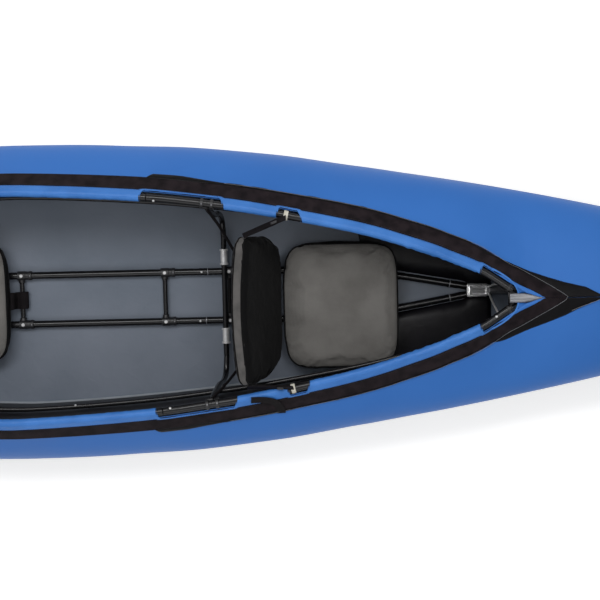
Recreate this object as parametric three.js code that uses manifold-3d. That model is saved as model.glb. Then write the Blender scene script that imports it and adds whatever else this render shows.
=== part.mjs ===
// A tandem folding kayak: a take-apart tube frame inside a fabric hull with inflated side chambers.
// Millimetres, +X towards the bow, +Y to port, +Z up. The origin is under the middle of the hull,
// on the level stretch of its bottom.
import * as THREE from "three";
import { mergeVertices } from "three/addons/utils/BufferGeometryUtils.js";
import Module from "manifold-3d";

const wasm = await Module();
wasm.setup();

// Hull size and lines
const hullLength = 4670;
const beam = 924;
const widestX = -150;
const gunwaleHeight = 318;
const sheerRise = 75;
const levelRun = 1100;
const rocker = 55;
const stemLength = 520;
const stemRise = 245;
const floorWidth = 624;
const cockpitWidth = 650;
const cockpitTaperShare = 0.4;
const noseHalfWidth = 6;
const widestHeightShare = 0.47;
const foreLength = hullLength / 2 - widestX;
const aftLength = hullLength / 2 + widestX;

// Places along each half of the hull, as shares of the way from the widest station to its end
const cockpitTipShare = 0.5835;
const openDeckShare = 0.58;
const closedDeckShare = 0.605;
const tubeEndShare = 0.5686;
const tailTipShare = 0.664;
const chamberEndShare = 0.89;
const wallEndShare = 0.5665;
const valveShare = 0.47;
const deckShares = [1, 0.985, 0.95, chamberEndShare, 0.81, 0.72, 0.655, closedDeckShare];
const cockpitShares = [openDeckShare, wallEndShare, 0.53, valveShare, 0.39, 0.29, 0.15];
const stationShares = [...deckShares, ...cockpitShares];

// Fabric, and the clearance between pieces that touch
const gap = 0.4;
const skinThickness = 1.6;
const webbing = 2.4;
const midshipsSlopeDegrees = 48;
const bowSlopeDegrees = 22;
const skinEdgeAlong = 13;
const skinEdgeLift = 10.2;
const tapeFrom = 9.8;
const tapeTo = 59.8;
const ridgeLift = 5;
const skinSteps = 4;

// Frame tubes
const gunwaleRadius = 11;
const keelRadius = 11;
const keelSpacing = 150;
const rungRadius = 7;
const fittingRadius = 14;
const fittingLength = 36;
const ribRadius = 8.5;
const stringerRadius = 7;
const stringerHeightShare = 0.55;
const stemTubeRadius = 13;
const tubeSides = 10;
const longTubeSides = 8;
const keelCentre = skinThickness + gap + fittingRadius;

// Seats and what stands beside them: the front seat's places, and how far aft the rear seat is
const seatSpacing = 1168;
const frontSeatX = 793;
const seatShiftY = -22;
const rearSeatX = frontSeatX - seatSpacing;
const cushionLength = 344;
const cushionWidth = 377;
const cushionHeight = 62;
const ribAhead = -349;
const clampAhead = -375;
const backrestHeight = 335;
const backrestSideRoom = 114.5;
const backrestTopWidth = cockpitWidth - 2 * backrestSideRoom;
const backrestFootWidth = 282;
const backrestThickness = 38;
const reclineDegrees = 16;

// Unit shapes and small helpers
const turn = Math.PI * 2;
const radians = THREE.MathUtils.degToRad;
const ends = { bow: 1, stern: -1 };
const sides = { port: 1, starboard: -1 };
const endLength = (end) => (end > 0 ? foreLength : aftLength);
const xAt = (share, end) => widestX + end * share * endLength(end);
const mix = (a, b, share) => a + (b - a) * share;
const vec = (x, y, z) => new THREE.Vector3(x, y, z);

// Solids: every piece is closed, and joins and cuts are made on closed pieces.
function solidOf(geometry) {
  const bare = geometry.clone();
  bare.deleteAttribute("normal");
  bare.deleteAttribute("uv");
  const merged = mergeVertices(bare, 1e-3);
  const points = merged.attributes.position;
  const index = Array.from(merged.index.array);
  const faces = [];
  for (let i = 0; i < index.length; i += 3) {
    const [a, b, c] = index.slice(i, i + 3);
    if (a !== b && b !== c && c !== a) faces.push([a, b, c]);
  }
  const corner = (k) => new THREE.Vector3().fromBufferAttribute(points, k);
  const volume = faces.reduce((sum, [a, b, c]) => sum + corner(a).dot(corner(b).cross(corner(c))), 0);
  const triVerts = new Uint32Array(faces.flatMap(([a, b, c]) => (volume < 0 ? [a, c, b] : [a, b, c])));
  return new wasm.Manifold(new wasm.Mesh({ numProp: 3, vertProperties: points.array, triVerts }));
}

const join = (...solids) => solids.reduce((all, next) => all.add(next));
const cut = (solid, ...tools) => tools.reduce((left, tool) => left.subtract(tool), solid);

function geometryOf(solid) {
  const mesh = solid.getMesh();
  const positions = new Float32Array(mesh.numVert * 3);
  for (let i = 0; i < mesh.numVert; i++)
    positions.set(mesh.vertProperties.subarray(i * mesh.numProp, i * mesh.numProp + 3), i * 3);
  const geometry = new THREE.BufferGeometry();
  geometry.setAttribute("position", new THREE.BufferAttribute(positions, 3));
  geometry.setIndex(new THREE.BufferAttribute(mesh.triVerts, 1));
  geometry.computeVertexNormals();
  return geometry;
}

// Joins rings of the same number of points. Each four-sided facet is split from its lower corner, so
// that the faces of nested pieces fold alike. A band's ring runs out along one face and back along the
// other, so its ends are closed in steps across it. Any other ring is closed by a fan from its middle.
const tieBreak = 1e-3;
function loft(rings, isBand = false) {
  const count = rings[0].length;
  const points = rings.flat();
  const index = [];
  for (let r = 0; r + 1 < rings.length; r++)
    for (let k = 0; k < count; k++) {
      const a = r * count + k;
      const b = r * count + ((k + 1) % count);
      const rise = points[b].z - points[a].z + (Math.abs(points[b].y) - Math.abs(points[a].y)) * tieBreak;
      if (rise >= 0) index.push(a, b, b + count, a, b + count, a + count);
      else index.push(a, b, a + count, b, b + count, a + count);
    }
  const close = (start, ring, isLast) => {
    const add = (a, b, c) => index.push(...(isLast ? [a, b, c] : [a, c, b]));
    if (isBand) {
      for (let k = 0; k + 1 < count / 2; k++) {
        const across = start + count - 1 - k;
        add(start + k, start + k + 1, across);
        add(start + k + 1, across - 1, across);
      }
      return;
    }
    const middle = ring.reduce((sum, p) => sum.add(p), vec(0, 0, 0)).divideScalar(count);
    points.push(middle);
    for (let k = 0; k < count; k++) add(start + k, start + ((k + 1) % count), points.length - 1);
  };
  close(0, rings[0], false);
  close(rings.length * count - count, rings[rings.length - 1], true);
  const geometry = new THREE.BufferGeometry().setFromPoints(points);
  geometry.setIndex(index);
  return solidOf(geometry);
}

const circle = (radius, count) =>
  Array.from({ length: count }, (_, k) => [
    radius * Math.cos((k / count) * turn),
    radius * Math.sin((k / count) * turn),
  ]);

const shapeOf = (points) => new THREE.Shape(points.map(([x, y]) => new THREE.Vector2(x, y)));

function pipe(points, radius, steps, count = tubeSides) {
  const extrudePath = new THREE.CatmullRomCurve3(points);
  return solidOf(new THREE.ExtrudeGeometry(shapeOf(circle(radius, count)), { steps, extrudePath }));
}

// A flat strap through the points, as wide as given in the direction of across.
function strap(points, width, thickness, across, steps = 3) {
  const path = new THREE.CatmullRomCurve3(points);
  const rings = Array.from({ length: steps + 1 }, (_, k) => {
    const at = path.getPointAt(k / steps);
    const along = path.getTangentAt(k / steps);
    const wide = across.clone().addScaledVector(along, -across.dot(along)).normalize();
    const thick = new THREE.Vector3().crossVectors(along, wide);
    const corners = [[-1, -1], [1, -1], [1, 1], [-1, 1]];
    return corners.map(([w, t]) =>
      at.clone().addScaledVector(wide, (w * width) / 2).addScaledVector(thick, (t * thickness) / 2),
    );
  });
  return loft(rings);
}

function rod(from, to, radius, count = tubeSides) {
  const axis = to.clone().sub(from);
  const geometry = new THREE.CylinderGeometry(radius, radius, axis.length(), count);
  geometry.applyQuaternion(new THREE.Quaternion().setFromUnitVectors(vec(0, 1, 0), axis.clone().normalize()));
  geometry.translate(...from.clone().add(to).divideScalar(2).toArray());
  return solidOf(geometry);
}

// A turned piece whose profile of radius and height closes on itself, with its axis along the direction.
function turned(profile, at, direction, count = tubeSides) {
  const closed = [...profile, profile[0]].map(([r, h]) => new THREE.Vector2(r, h));
  const geometry = new THREE.LatheGeometry(closed, count);
  geometry.applyQuaternion(new THREE.Quaternion().setFromUnitVectors(vec(0, 1, 0), direction));
  geometry.translate(...at.toArray());
  return solidOf(geometry);
}

const ringProfile = (inner, outer, length) => [
  [inner, -length / 2],
  [outer, -length / 2],
  [outer, length / 2],
  [inner, length / 2],
];

// A bore of flat facets clears a tube by the gap at the middle of its facets.
const boreFor = (radius, count = tubeSides) => (radius + gap) / Math.cos(turn / 2 / count);

function box(length, width, height, x, y, z) {
  const geometry = new THREE.BoxGeometry(length, width, height);
  geometry.translate(x, y, z);
  return solidOf(geometry);
}

// Hull lines: the heights and half widths of the hull at a station
function linesAt(x) {
  const end = x >= widestX ? ends.bow : ends.stern;
  const length = endLength(end);
  const run = Math.abs(x - widestX);
  const share = run / length;
  const beyondLevel = Math.max(0, run - levelRun) / (length - levelRun);
  const upStem = Math.max(0, run - (length - stemLength)) / stemLength;
  const cockpitShare = Math.min(1, share / cockpitTipShare);
  const keel = rocker * beyondLevel ** 2 + stemRise * upStem ** 3;
  const gunwale = gunwaleHeight + sheerRise * share ** 2.2;
  const fullness = (1 - Math.min(1, share ** 1.7)) ** 0.85;
  const floorFullness = (1 - Math.min(1, share ** 1.5)) ** 1.1;
  const taper = cockpitTaperShare * cockpitShare ** 1.4 + (1 - cockpitTaperShare) * cockpitShare ** 4;
  return {
    share,
    keel,
    gunwale,
    widest: mix(keel, gunwale, widestHeightShare),
    halfBeam: noseHalfWidth + (beam / 2 - noseHalfWidth) * fullness,
    halfFloor: noseHalfWidth / 2 + (floorWidth / 2) * floorFullness,
    halfCockpit: (cockpitWidth / 2) * (1 - taper),
    slope: radians(mix(midshipsSlopeDegrees, bowSlopeDegrees, Math.min(1, share / closedDeckShare) ** 1.3)),
  };
}

const stations = [
  ...stationShares.map((share) => xAt(share, ends.stern)),
  widestX,
  ...stationShares.map((share) => xAt(share, ends.bow)).reverse(),
];

// Between two stations every line of the hull is straight, so pieces that nest stay evenly spaced.
function blended(x, shapeAt) {
  const next = Math.max(1, stations.findIndex((station) => station >= x));
  const share = (x - stations[next - 1]) / (stations[next] - stations[next - 1]);
  const [a, b] = [shapeAt(stations[next - 1]), shapeAt(stations[next])];
  return a.map(([y, z], k) => [mix(y, b[k][0], share), mix(z, b[k][1], share)]);
}

function loftAlong(fromX, toX, shapeAt, side = 1, isBand = false) {
  const inside = stations.filter((x) => x > fromX && x < toX);
  const rings = [fromX, ...inside, toX].map((x) => blended(x, shapeAt).map(([y, z]) => vec(x, side * y, z)));
  return loft(rings, isBand);
}

const gunwaleAt = (x) => blended(x, (s) => [[linesAt(s).halfCockpit, linesAt(s).gunwale]])[0];

function gunwaleFrame(x, side, reach) {
  const [ahead, behind] = [gunwaleAt(x + reach), gunwaleAt(x - reach)];
  const [y, z] = gunwaleAt(x);
  const along = vec(2 * reach, side * (ahead[0] - behind[0]), ahead[1] - behind[1]).normalize();
  return { centre: vec(x, side * y, z), along };
}

// A point beside the gunwale tube: along the fall of the deck edge and lifted off it
function besideGunwale(x, along, lift) {
  const { halfCockpit, gunwale, slope } = linesAt(x);
  return [
    halfCockpit + along * Math.cos(slope) + lift * Math.sin(slope),
    gunwale - along * Math.sin(slope) + lift * Math.cos(slope),
  ];
}

// A point on the deck, from the upper edge of the skin outwards and lifted off its surface
function onDeck(x, along, lift) {
  const { share, gunwale, slope } = linesAt(x);
  const [y, z] =
    share > openDeckShare
      ? [gap / 2 + skinThickness * Math.sin(slope), gunwale + ridgeLift]
      : besideGunwale(x, skinEdgeAlong, skinEdgeLift);
  return [
    y + along * Math.cos(slope) + lift * Math.sin(slope),
    z - along * Math.sin(slope) + lift * Math.cos(slope),
  ];
}

const bezier = (a, b, c, d, count) =>
  Array.from({ length: count }, (_, k) => {
    const curve = new THREE.CubicBezierCurve(...[a, b, c, d].map(([y, z]) => new THREE.Vector2(y, z)));
    return curve.getPoint((k + 1) / count).toArray();
  });

const widestIndex = 1 + skinSteps;
const bandIndex = widestIndex + skinSteps;
const tapeIndex = bandIndex + 1;
const edgeIndex = tapeIndex + 1;

// The outer face of the port half of the hull: keel line, chine, widest line, both edges of the band
// that the tape covers, and the upper edge
function outlineAt(x) {
  const { keel, widest, halfBeam, halfFloor, slope } = linesAt(x);
  const edge = onDeck(x, 0, 0);
  const taped = Math.min(tapeTo, (halfBeam - edge[0]) / 2);
  const band = onDeck(x, taped, 0);
  const chine = [halfFloor, keel];
  const widestPoint = [halfBeam, widest];
  const bend = 0.55;
  const reach = Math.min(halfBeam - band[0], band[1] - widest) * bend;
  return [
    [0, keel],
    chine,
    ...bezier(
      chine,
      [mix(halfFloor, halfBeam, bend), keel],
      [halfBeam, mix(widest, keel, bend)],
      widestPoint,
      skinSteps,
    ),
    ...bezier(
      widestPoint,
      [halfBeam, widest + reach],
      [band[0] + reach * Math.cos(slope), band[1] - reach * Math.sin(slope)],
      band,
      skinSteps,
    ),
    onDeck(x, Math.min(tapeFrom, taped / 2), 0),
    edge,
  ];
}

// The outline moved inwards by the same distance everywhere
function insetAt(x, distance) {
  const line = outlineAt(x);
  const before = [[-line[1][0], line[1][1]], ...line.slice(0, -1)];
  return line.map(([y, z], k) => {
    const a = before[k];
    const b = k + 1 < line.length ? line[k + 1] : [y * 2 - a[0], z * 2 - a[1]];
    const normal = ([y0, z0], [y1, z1]) => new THREE.Vector2(z0 - z1, y1 - y0).normalize();
    const [n1, n2] = [normal(a, [y, z]), normal([y, z], b)];
    const middle = n1.clone().add(n2).normalize();
    return [y + (middle.x * distance) / middle.dot(n2), z + (middle.y * distance) / middle.dot(n2)];
  });
}

// The black inner wall of the cockpit: a straight line from the floor's edge to below the gunwale
const wallDrop = 15.2;
const chamberDrop = 28;
const wallToStem = 5;
const deckClearY = stemTubeRadius + wallToStem;
function wallEnds(x) {
  const { keel, gunwale, halfFloor, halfCockpit } = linesAt(x);
  return [
    [Math.max(halfFloor - skinThickness - gap, deckClearY), keel + skinThickness + gap],
    [Math.max(halfCockpit, deckClearY), gunwale - wallDrop],
  ];
}

function wallAt(x, z) {
  const [[y0, z0], [y1, z1]] = blended(x, wallEnds);
  return mix(y0, y1, (z - z0) / (z1 - z0));
}

// The wall's inner face: its foot, the stringer's height, the top of the side chamber and its own top
function wallLine(x) {
  const [foot, top] = wallEnds(x);
  const chamberTop = (linesAt(x).gunwale - chamberDrop - foot[1]) / (top[1] - foot[1]);
  const point = (share) => [mix(foot[0], top[0], share), mix(foot[1], top[1], share)];
  return [0, stringerHeightShare, chamberTop, 1].map(point);
}

const kayak = new THREE.Group();
const hullGroup = new THREE.Group();
const frameGroup = new THREE.Group();
kayak.add(hullGroup, frameGroup);

const paint = (color, roughness, metalness = 0) =>
  new THREE.MeshStandardMaterial({ color, roughness, metalness });
const blueFabric = paint("#3f78c0", 0.5);
const greyFabric = paint("#646b74", 0.6);
const blackFabric = paint("#1d1b20", 0.9);
const blackTube = paint("#26272a", 0.35, 0.8);
const silverTube = paint("#a9abad", 0.3, 1);
const blackPlastic = paint("#202124", 0.5);
const meshFabric = paint("#55565a", 0.95);
const blackPad = paint("#121214", 0.95);
const paleWebbing = paint("#d8d4c6", 0.85);
const bladderFilm = paint("#9aa0a6", 0.4);

function place(group, name, solid, material) {
  const mesh = new THREE.Mesh(geometryOf(solid), material);
  mesh.name = name;
  group.add(mesh);
}

// Valves in the after deck: a flanged neck let into each side chamber, with a cap screwed over it
const valveX = xAt(valveShare, ends.stern);
const valveIndex = widestIndex + 2;
const valveHole = 15.2;
const valveNeck = 14.6;
const valveDepth = 20;
const flangeRadius = 22;
const flangeHeight = 3;
const stubHeight = 7;
const stubRadius = 12;
const capRadius = 18;
const capHeight = 13;
const capWall = 3;
const capSides = 14;
const flangeLift = 0.9;

function valveFrame(side) {
  const probe = 20;
  const at = (x, share) => {
    const line = blended(x, outlineAt);
    const [y0, z0] = line[valveIndex];
    const [y1, z1] = line[valveIndex + 1];
    return vec(x, side * mix(y0, y1, share), mix(z0, z1, share));
  };
  const along = at(valveX + probe, 0.5).sub(at(valveX - probe, 0.5));
  const across = at(valveX, 1).sub(at(valveX, 0));
  const up = new THREE.Vector3().crossVectors(along, across).normalize();
  if (up.z < 0) up.negate();
  return { at: at(valveX, 0.5), up };
}

const valveCutter = (side, depth) => {
  const { at, up } = valveFrame(side);
  const from = at.clone().addScaledVector(up, -depth);
  return rod(from, at.clone().addScaledVector(up, flangeRadius), valveHole, capSides);
};

function valves(side, name) {
  const { at, up } = valveFrame(side);
  const seat = at.clone().addScaledVector(up, flangeLift);
  const neck = -valveDepth + gap;
  const body = [
    [valveNeck - capWall, neck],
    [valveNeck, neck],
    [valveNeck, 0],
    [flangeRadius, 0],
    [flangeRadius, flangeHeight],
    [stubRadius, flangeHeight],
    [stubRadius, flangeHeight + stubHeight],
    [valveNeck - capWall - gap, flangeHeight + stubHeight],
  ];
  const cap = [
    [stubRadius + gap, flangeHeight + gap],
    [capRadius, flangeHeight + gap],
    [capRadius, flangeHeight + capHeight],
    [0, flangeHeight + capHeight],
    [0, flangeHeight + stubHeight + gap],
    [stubRadius + gap, flangeHeight + stubHeight + gap],
  ];
  place(hullGroup, name + "_valve", turned(body, seat, up, capSides), blackPlastic);
  place(hullGroup, name + "_valve_cap", turned(cap, seat, up, capSides), blackPlastic);
}

// Bottom skin, side skins, side chambers and inner walls
function skinBand(x, from, to) {
  const outer = outlineAt(x).slice(from, to + 1);
  const inner = insetAt(x, skinThickness).slice(from, to + 1);
  return { outer, inner };
}

function bottomBand(x) {
  const { outer, inner } = skinBand(x, 0, widestIndex);
  outer[0][0] -= gap;
  inner[0][0] -= gap;
  return [...outer, ...inner.reverse()];
}

function sideBand(x) {
  const { outer, inner } = skinBand(x, widestIndex, edgeIndex);
  outer[0][1] += gap;
  inner[0][1] += gap;
  return [...outer, ...inner.reverse()];
}

const chamberInset = skinThickness + gap + gap / 2;
const chamberRound = 24;
function chamberSection(x) {
  const line = insetAt(x, chamberInset).slice(1, tapeIndex + 1);
  const wall = wallLine(x).slice(1, -1).map(([y, z]) => [y + skinThickness + gap, z]);
  return [...line, ...wall.reverse()];
}

function sideChamber(side) {
  const [aft, fore] = [xAt(chamberEndShare, ends.stern), xAt(chamberEndShare, ends.bow)];
  const body = stations.filter((x) => x > aft && x < fore);
  const ringAt = (x) => blended(x, chamberSection).map(([y, z]) => vec(x, side * y, z));
  const roundShares = [0.8, 0.45];
  const dome = (x, direction) =>
    roundShares.map((share, k) => {
      const ring = ringAt(x);
      const middle = ring.reduce((sum, p) => sum.add(p), vec(0, 0, 0)).divideScalar(ring.length);
      const shift = vec(direction * chamberRound * (k ? 1 : 0.4), 0, 0);
      return ring.map((p) => p.lerp(middle, 1 - share).add(shift));
    });
  const rings = [...dome(aft, -1).reverse(), ...[aft, ...body, fore].map(ringAt), ...dome(fore, 1)];
  return cut(loft(rings), valveCutter(side, valveDepth + flangeHeight));
}

function innerWall(side) {
  const ring = (x) => {
    const line = wallLine(x);
    return [...line, ...line.map(([y, z]) => [y + skinThickness, z]).reverse()];
  };
  const [aft, fore] = [xAt(wallEndShare, ends.stern), xAt(wallEndShare, ends.bow)];
  return loftAlong(aft, fore, ring, side, true);
}

const [sternmost, foremost] = [stations[0], stations[stations.length - 1]];
const bottomHalves = Object.values(sides).map((side) =>
  loftAlong(sternmost, foremost, bottomBand, side, true),
);
place(hullGroup, "bottom_skin", join(...bottomHalves), greyFabric);
for (const [name, side] of Object.entries(sides)) {
  const skin = loftAlong(sternmost, foremost, sideBand, side, true);
  place(hullGroup, name + "_side_skin", cut(skin, valveCutter(side, valveDepth)), blueFabric);
  place(hullGroup, name + "_side_chamber", sideChamber(side), bladderFilm);
  place(hullGroup, name + "_inner_wall", innerWall(side), blackFabric);
  valves(side, name);
}

// Gunwale sleeves: a fabric tunnel round each gunwale tube, open at the windows, on a continuous hem
const sleeveRadius = gunwaleRadius + gap + skinThickness;
const hemFrom = 15.5;
const hemTo = 22;
const hemLift = 10.8;
const windows = {
  port: [[231, 465], [610, 680]],
  starboard: [[259, 490], [630, 694]],
};
const sleeveEndShare = 0.537;

// How much wider a tube that runs with the gunwale is when it is cut square to the hull
function gunwaleStretch(x) {
  const probe = 1;
  const before = linesAt(x - probe).halfCockpit;
  const after = linesAt(x + probe).halfCockpit;
  return Math.hypot(1, (after - before) / (2 * probe));
}

function tubeRingAt(x, radius) {
  const { halfCockpit, gunwale } = linesAt(x);
  return circle(radius, longTubeSides).map(([y, z]) => [halfCockpit + y * gunwaleStretch(x), gunwale + z]);
}

// A tunnel's outer face: round the tube, with a flat seam from its top into the hem
const seamInset = 0.3;
function tunnelRingAt(x) {
  const { halfCockpit, slope } = linesAt(x);
  const [seamLow, seamHigh] = [hemLift + seamInset, hemLift + webbing - seamInset];
  const [seamRoot, seamEnd] = [sleeveRadius / 3, hemFrom + webbing];
  const round = circle(sleeveRadius, longTubeSides);
  const up = longTubeSides / 4;
  const [outboard, inboard] = [round.slice(0, up), round.slice(up)];
  const underSeam = [[seamRoot, seamLow], [seamEnd, seamLow]];
  return [[seamEnd, seamHigh], ...inboard, ...outboard, ...underSeam].map(([along, lift]) => {
    const [y, z] = besideGunwale(x, along, lift);
    return [halfCockpit + (y - halfCockpit) * gunwaleStretch(x), z];
  });
}

const hemBand = (x, from, to) => [
  besideGunwale(x, from, hemLift),
  besideGunwale(x, to, hemLift),
  besideGunwale(x, to, hemLift + webbing),
  besideGunwale(x, from, hemLift + webbing),
];

function gunwaleSleeve(name) {
  const side = sides[name];
  const all = [...windows[name].map((w) => w.map((x) => x - seatSpacing)), ...windows[name]];
  const starts = [xAt(sleeveEndShare, ends.stern), ...all.map(([, end]) => end)];
  const stops = [...all.map(([start]) => start), xAt(sleeveEndShare, ends.bow)];
  const covered = starts.map((start, k) => [start, stops[k]]);
  const [aft, fore] = [xAt(openDeckShare, ends.stern), xAt(openDeckShare, ends.bow)];
  const hem = loftAlong(aft, fore, (x) => hemBand(x, hemFrom, hemTo), side);
  const tunnels = covered.map(([a, b]) => loftAlong(a, b, tunnelRingAt, side, true));
  const bores = covered.map(([a, b]) =>
    loftAlong(a - gunwaleRadius, b + gunwaleRadius, (x) => tubeRingAt(x, gunwaleRadius + gap), side),
  );
  return cut(join(hem, ...tunnels), ...bores);
}

// Hook tape round the cockpit, and the black flap that follows it to a folded tail on the fore deck
const tapeThickness = 1.4;
const flapTo = 74;
const flapThickness = 2.4;
const flapFromX = 250;
const tailRootHalfWidth = 91;
const tailTipHalfWidth = 8;

const deckBand = (x, from, to, low, high) => [
  onDeck(x, from, low),
  onDeck(x, to, low),
  onDeck(x, to, high),
  onDeck(x, from, high),
];

// A sheet over the ridge of the closed deck, as wide each way as given
function ridgeSheet(x, halfWidth, low, high) {
  const face = (lift) => {
    const outer = onDeck(x, halfWidth, lift);
    const inner = onDeck(x, 0, lift);
    const middle = [0, inner[1]];
    return [outer, inner, middle, [-inner[0], inner[1]], [-outer[0], outer[1]]];
  };
  return [...face(high), ...face(low).reverse()];
}

function hookTape() {
  const [aft, fore] = [xAt(closedDeckShare, ends.stern), xAt(closedDeckShare, ends.bow)];
  const high = gap + tapeThickness;
  const runs = Object.values(sides).map((side) =>
    loftAlong(aft, fore, (x) => deckBand(x, tapeFrom, tapeTo, gap, high), side),
  );
  const bridges = [
    [aft - tapeTo / 2, aft + tapeFrom],
    [fore - tapeFrom, fore + tapeTo / 2],
  ].map(([a, b]) => loftAlong(a, b, (x) => ridgeSheet(x, tapeTo, gap, high), 1, true));
  return join(...runs, ...bridges);
}

function foreFlap() {
  const [open, fore, tip] = [openDeckShare, closedDeckShare, tailTipShare].map((s) => xAt(s, ends.bow));
  const low = gap + tapeThickness + gap;
  const runs = Object.values(sides).map((side) =>
    loftAlong(flapFromX, fore, (x) => deckBand(x, tapeTo + gap, flapTo, 2 * gap, low + flapThickness), side),
  );
  const widthAt = (x) => mix(tailRootHalfWidth, tailTipHalfWidth, (x - open) / (tip - open));
  const tail = [mix(open, fore, 0.75), fore, (fore + tip) / 2, tip].map((x) => {
    const sheet = (s) => ridgeSheet(s, widthAt(x), low, low + flapThickness);
    return blended(x, sheet).map(([y, z]) => vec(x, y, z));
  });
  return join(...runs, loft(tail, true));
}

for (const name of Object.keys(sides))
  place(hullGroup, name + "_gunwale_sleeve", gunwaleSleeve(name), blueFabric);
place(hullGroup, "hook_tape", hookTape(), blackFabric);
place(hullGroup, "fore_flap", foreFlap(), blackFabric);

// Gussets: a web under the gunwales at each tip of the cockpit, with a hollow curved edge
const gussetClearance = 0.65;
const gussetHalfWidth = 80;
const gussetHollow = 76;
const gussetEdgeShare = 0.5725;
const gussetTipShare = 0.62;

function gusset(end) {
  const edge = xAt(gussetEdgeShare, end);
  const tip = xAt(gussetTipShare, end);
  const root = edge - end * gussetHollow;
  const sheetAt = (x) => {
    const [wallY, z] = wallLine(x)[2];
    const halfWidth = wallY - gussetClearance;
    const face = [[-halfWidth, z], [0, z], [halfWidth, z]];
    return [...face, ...face.map(([y, h]) => [y, h + skinThickness]).reverse()];
  };
  const sheet = loftAlong(Math.min(root, tip), Math.max(root, tip), sheetAt, 1, true);
  const shares = [-1.2, -0.9, -0.6, -0.3, 0, 0.3, 0.6, 0.9, 1.2];
  const hollow = shares.map((share) => [edge - end * gussetHollow * share ** 2, share * gussetHalfWidth]);
  const shape = shapeOf(hollow);
  const cutter = new THREE.ExtrudeGeometry(shape, { depth: gunwaleHeight, bevelEnabled: false });
  cutter.translate(0, 0, gunwaleAt(edge)[1] - gunwaleHeight / 2);
  return cut(sheet, solidOf(cutter));
}

for (const [name, end] of Object.entries(ends))
  place(hullGroup, name + "_gusset", gusset(end), blueFabric);

// Carry handles: a grip on two webbing legs that lies on the deck and swings up about their sewn ends
const handleShare = 0.9;
const gripRadius = 12;
const gripLength = 104;
const legWidth = 20;
const legSpread = 84;
const legReach = 95;

function handlePivot(end) {
  const x = xAt(handleShare, end);
  const inner = (legSpread - legWidth) / 2;
  const { slope } = linesAt(x);
  const [, z] = blended(x, (s) => [onDeck(s, inner / Math.cos(slope), 0)])[0];
  return vec(x, 0, z + gap + webbing);
}

function carryHandle(end) {
  const pivot = handlePivot(end);
  const gripX = pivot.x - end * legReach;
  const ridge = blended(gripX, (s) => [onDeck(s, 0, 0)])[0][1];
  const gripZ = ridge + gap + gripRadius;
  const legs = Object.values(sides).map((side) => {
    const y = (side * legSpread) / 2;
    return strap([vec(pivot.x, y, pivot.z), vec(gripX, y, gripZ)], legWidth, webbing, vec(0, 1, 0), 1);
  });
  const grip = rod(vec(gripX, -gripLength / 2, gripZ), vec(gripX, gripLength / 2, gripZ), gripRadius);
  return join(grip, ...legs);
}

for (const [name, end] of Object.entries(ends))
  place(hullGroup, name + "_carry_handle", carryHandle(end), blackPlastic);

// Gunwale tubes: two lengths a side that meet at a snap button in the first window
const gunwaleJointX = { port: 250, starboard: 278 };
const buttonAhead = 21;
const buttonRadius = 3.5;
const buttonHeight = 6;
const buttonTravel = 2.5;
const buttonStand = 2.2;
const buttonTiltDegrees = 40;
const buttonSides = 10;

function buttonFrame(name) {
  const x = gunwaleJointX[name] + buttonAhead;
  const [y, z] = gunwaleAt(x);
  const tilt = radians(buttonTiltDegrees);
  const up = vec(0, -sides[name] * Math.sin(tilt), Math.cos(tilt));
  return { centre: vec(x, sides[name] * y, z), up };
}

function gunwaleTubes(name) {
  const side = sides[name];
  const { centre, up } = buttonFrame(name);
  const head = (height) => centre.clone().addScaledVector(up, gunwaleRadius + height);
  const drilled = head(buttonStand - buttonHeight - buttonTravel - gap);
  const hole = rod(drilled, head(gunwaleRadius), buttonRadius + gap, buttonSides);
  const ring = (x) => tubeRingAt(x, gunwaleRadius);
  const [aft, fore] = [xAt(tubeEndShare, ends.stern), xAt(tubeEndShare, ends.bow)];
  const joint = gunwaleJointX[name];
  place(frameGroup, name + "_gunwale_fore", cut(loftAlong(joint, fore, ring, side), hole), blackTube);
  place(frameGroup, name + "_gunwale_aft", loftAlong(aft, joint - gap, ring, side), blackTube);
  const button = rod(head(buttonStand - buttonHeight), head(buttonStand), buttonRadius, buttonSides);
  place(frameGroup, name + "_gunwale_button", button, silverTube);
}

// Stringers: a tube along each inner wall, about half way up it
const stringerShare = 0.5;
function stringer(side) {
  const ring = (x) => {
    const [[y0, z0], [y1, z1]] = wallEnds(x);
    const lean = Math.hypot(y1 - y0, z1 - z0) / (z1 - z0);
    const y = mix(y0, y1, stringerHeightShare) - (stringerRadius + gap) * lean;
    const z = mix(z0, z1, stringerHeightShare);
    return circle(stringerRadius, longTubeSides).map(([dy, dz]) => [y + dy, z + dz]);
  };
  return loftAlong(xAt(stringerShare, ends.stern), xAt(stringerShare, ends.bow), ring, side);
}

for (const [name, side] of Object.entries(sides)) {
  gunwaleTubes(name);
  place(frameGroup, name + "_stringer", stringer(side), blackTube);
}

// Keel ladder: two tubes that run level, then draw together towards a connector at each end
const keelRunBeyondRung = { bow: 24, stern: 284 };
const connectorShares = { bow: 0.536, stern: 0.546 };
const connectorTubeY = 12.6;
const connectorLength = 70;
const connectorWidth = 42;
const connectorHeight = 24;
const rungAhead = [18, -337];
const rearRungAhead = [198, -337];
const middleRungX = 260;
const rungPlaces = {
  front_seat_rung: frontSeatX + rungAhead[0],
  fore_rung: frontSeatX + rungAhead[1],
  middle_rung: middleRungX,
  rear_seat_rung: rearSeatX + rearRungAhead[0],
  aft_rung: rearSeatX + rearRungAhead[1],
};
const keelBendX = {
  bow: rungPlaces.front_seat_rung + keelRunBeyondRung.bow,
  stern: rungPlaces.aft_rung - keelRunBeyondRung.stern,
};
const connectorX = { bow: xAt(connectorShares.bow, ends.bow), stern: xAt(connectorShares.stern, ends.stern) };
const connectorFace = (end) => (end > 0 ? connectorX.bow : connectorX.stern);
const keelZ = (x) => blended(x, (s) => [[0, linesAt(s).keel + keelCentre]])[0][1];

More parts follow.
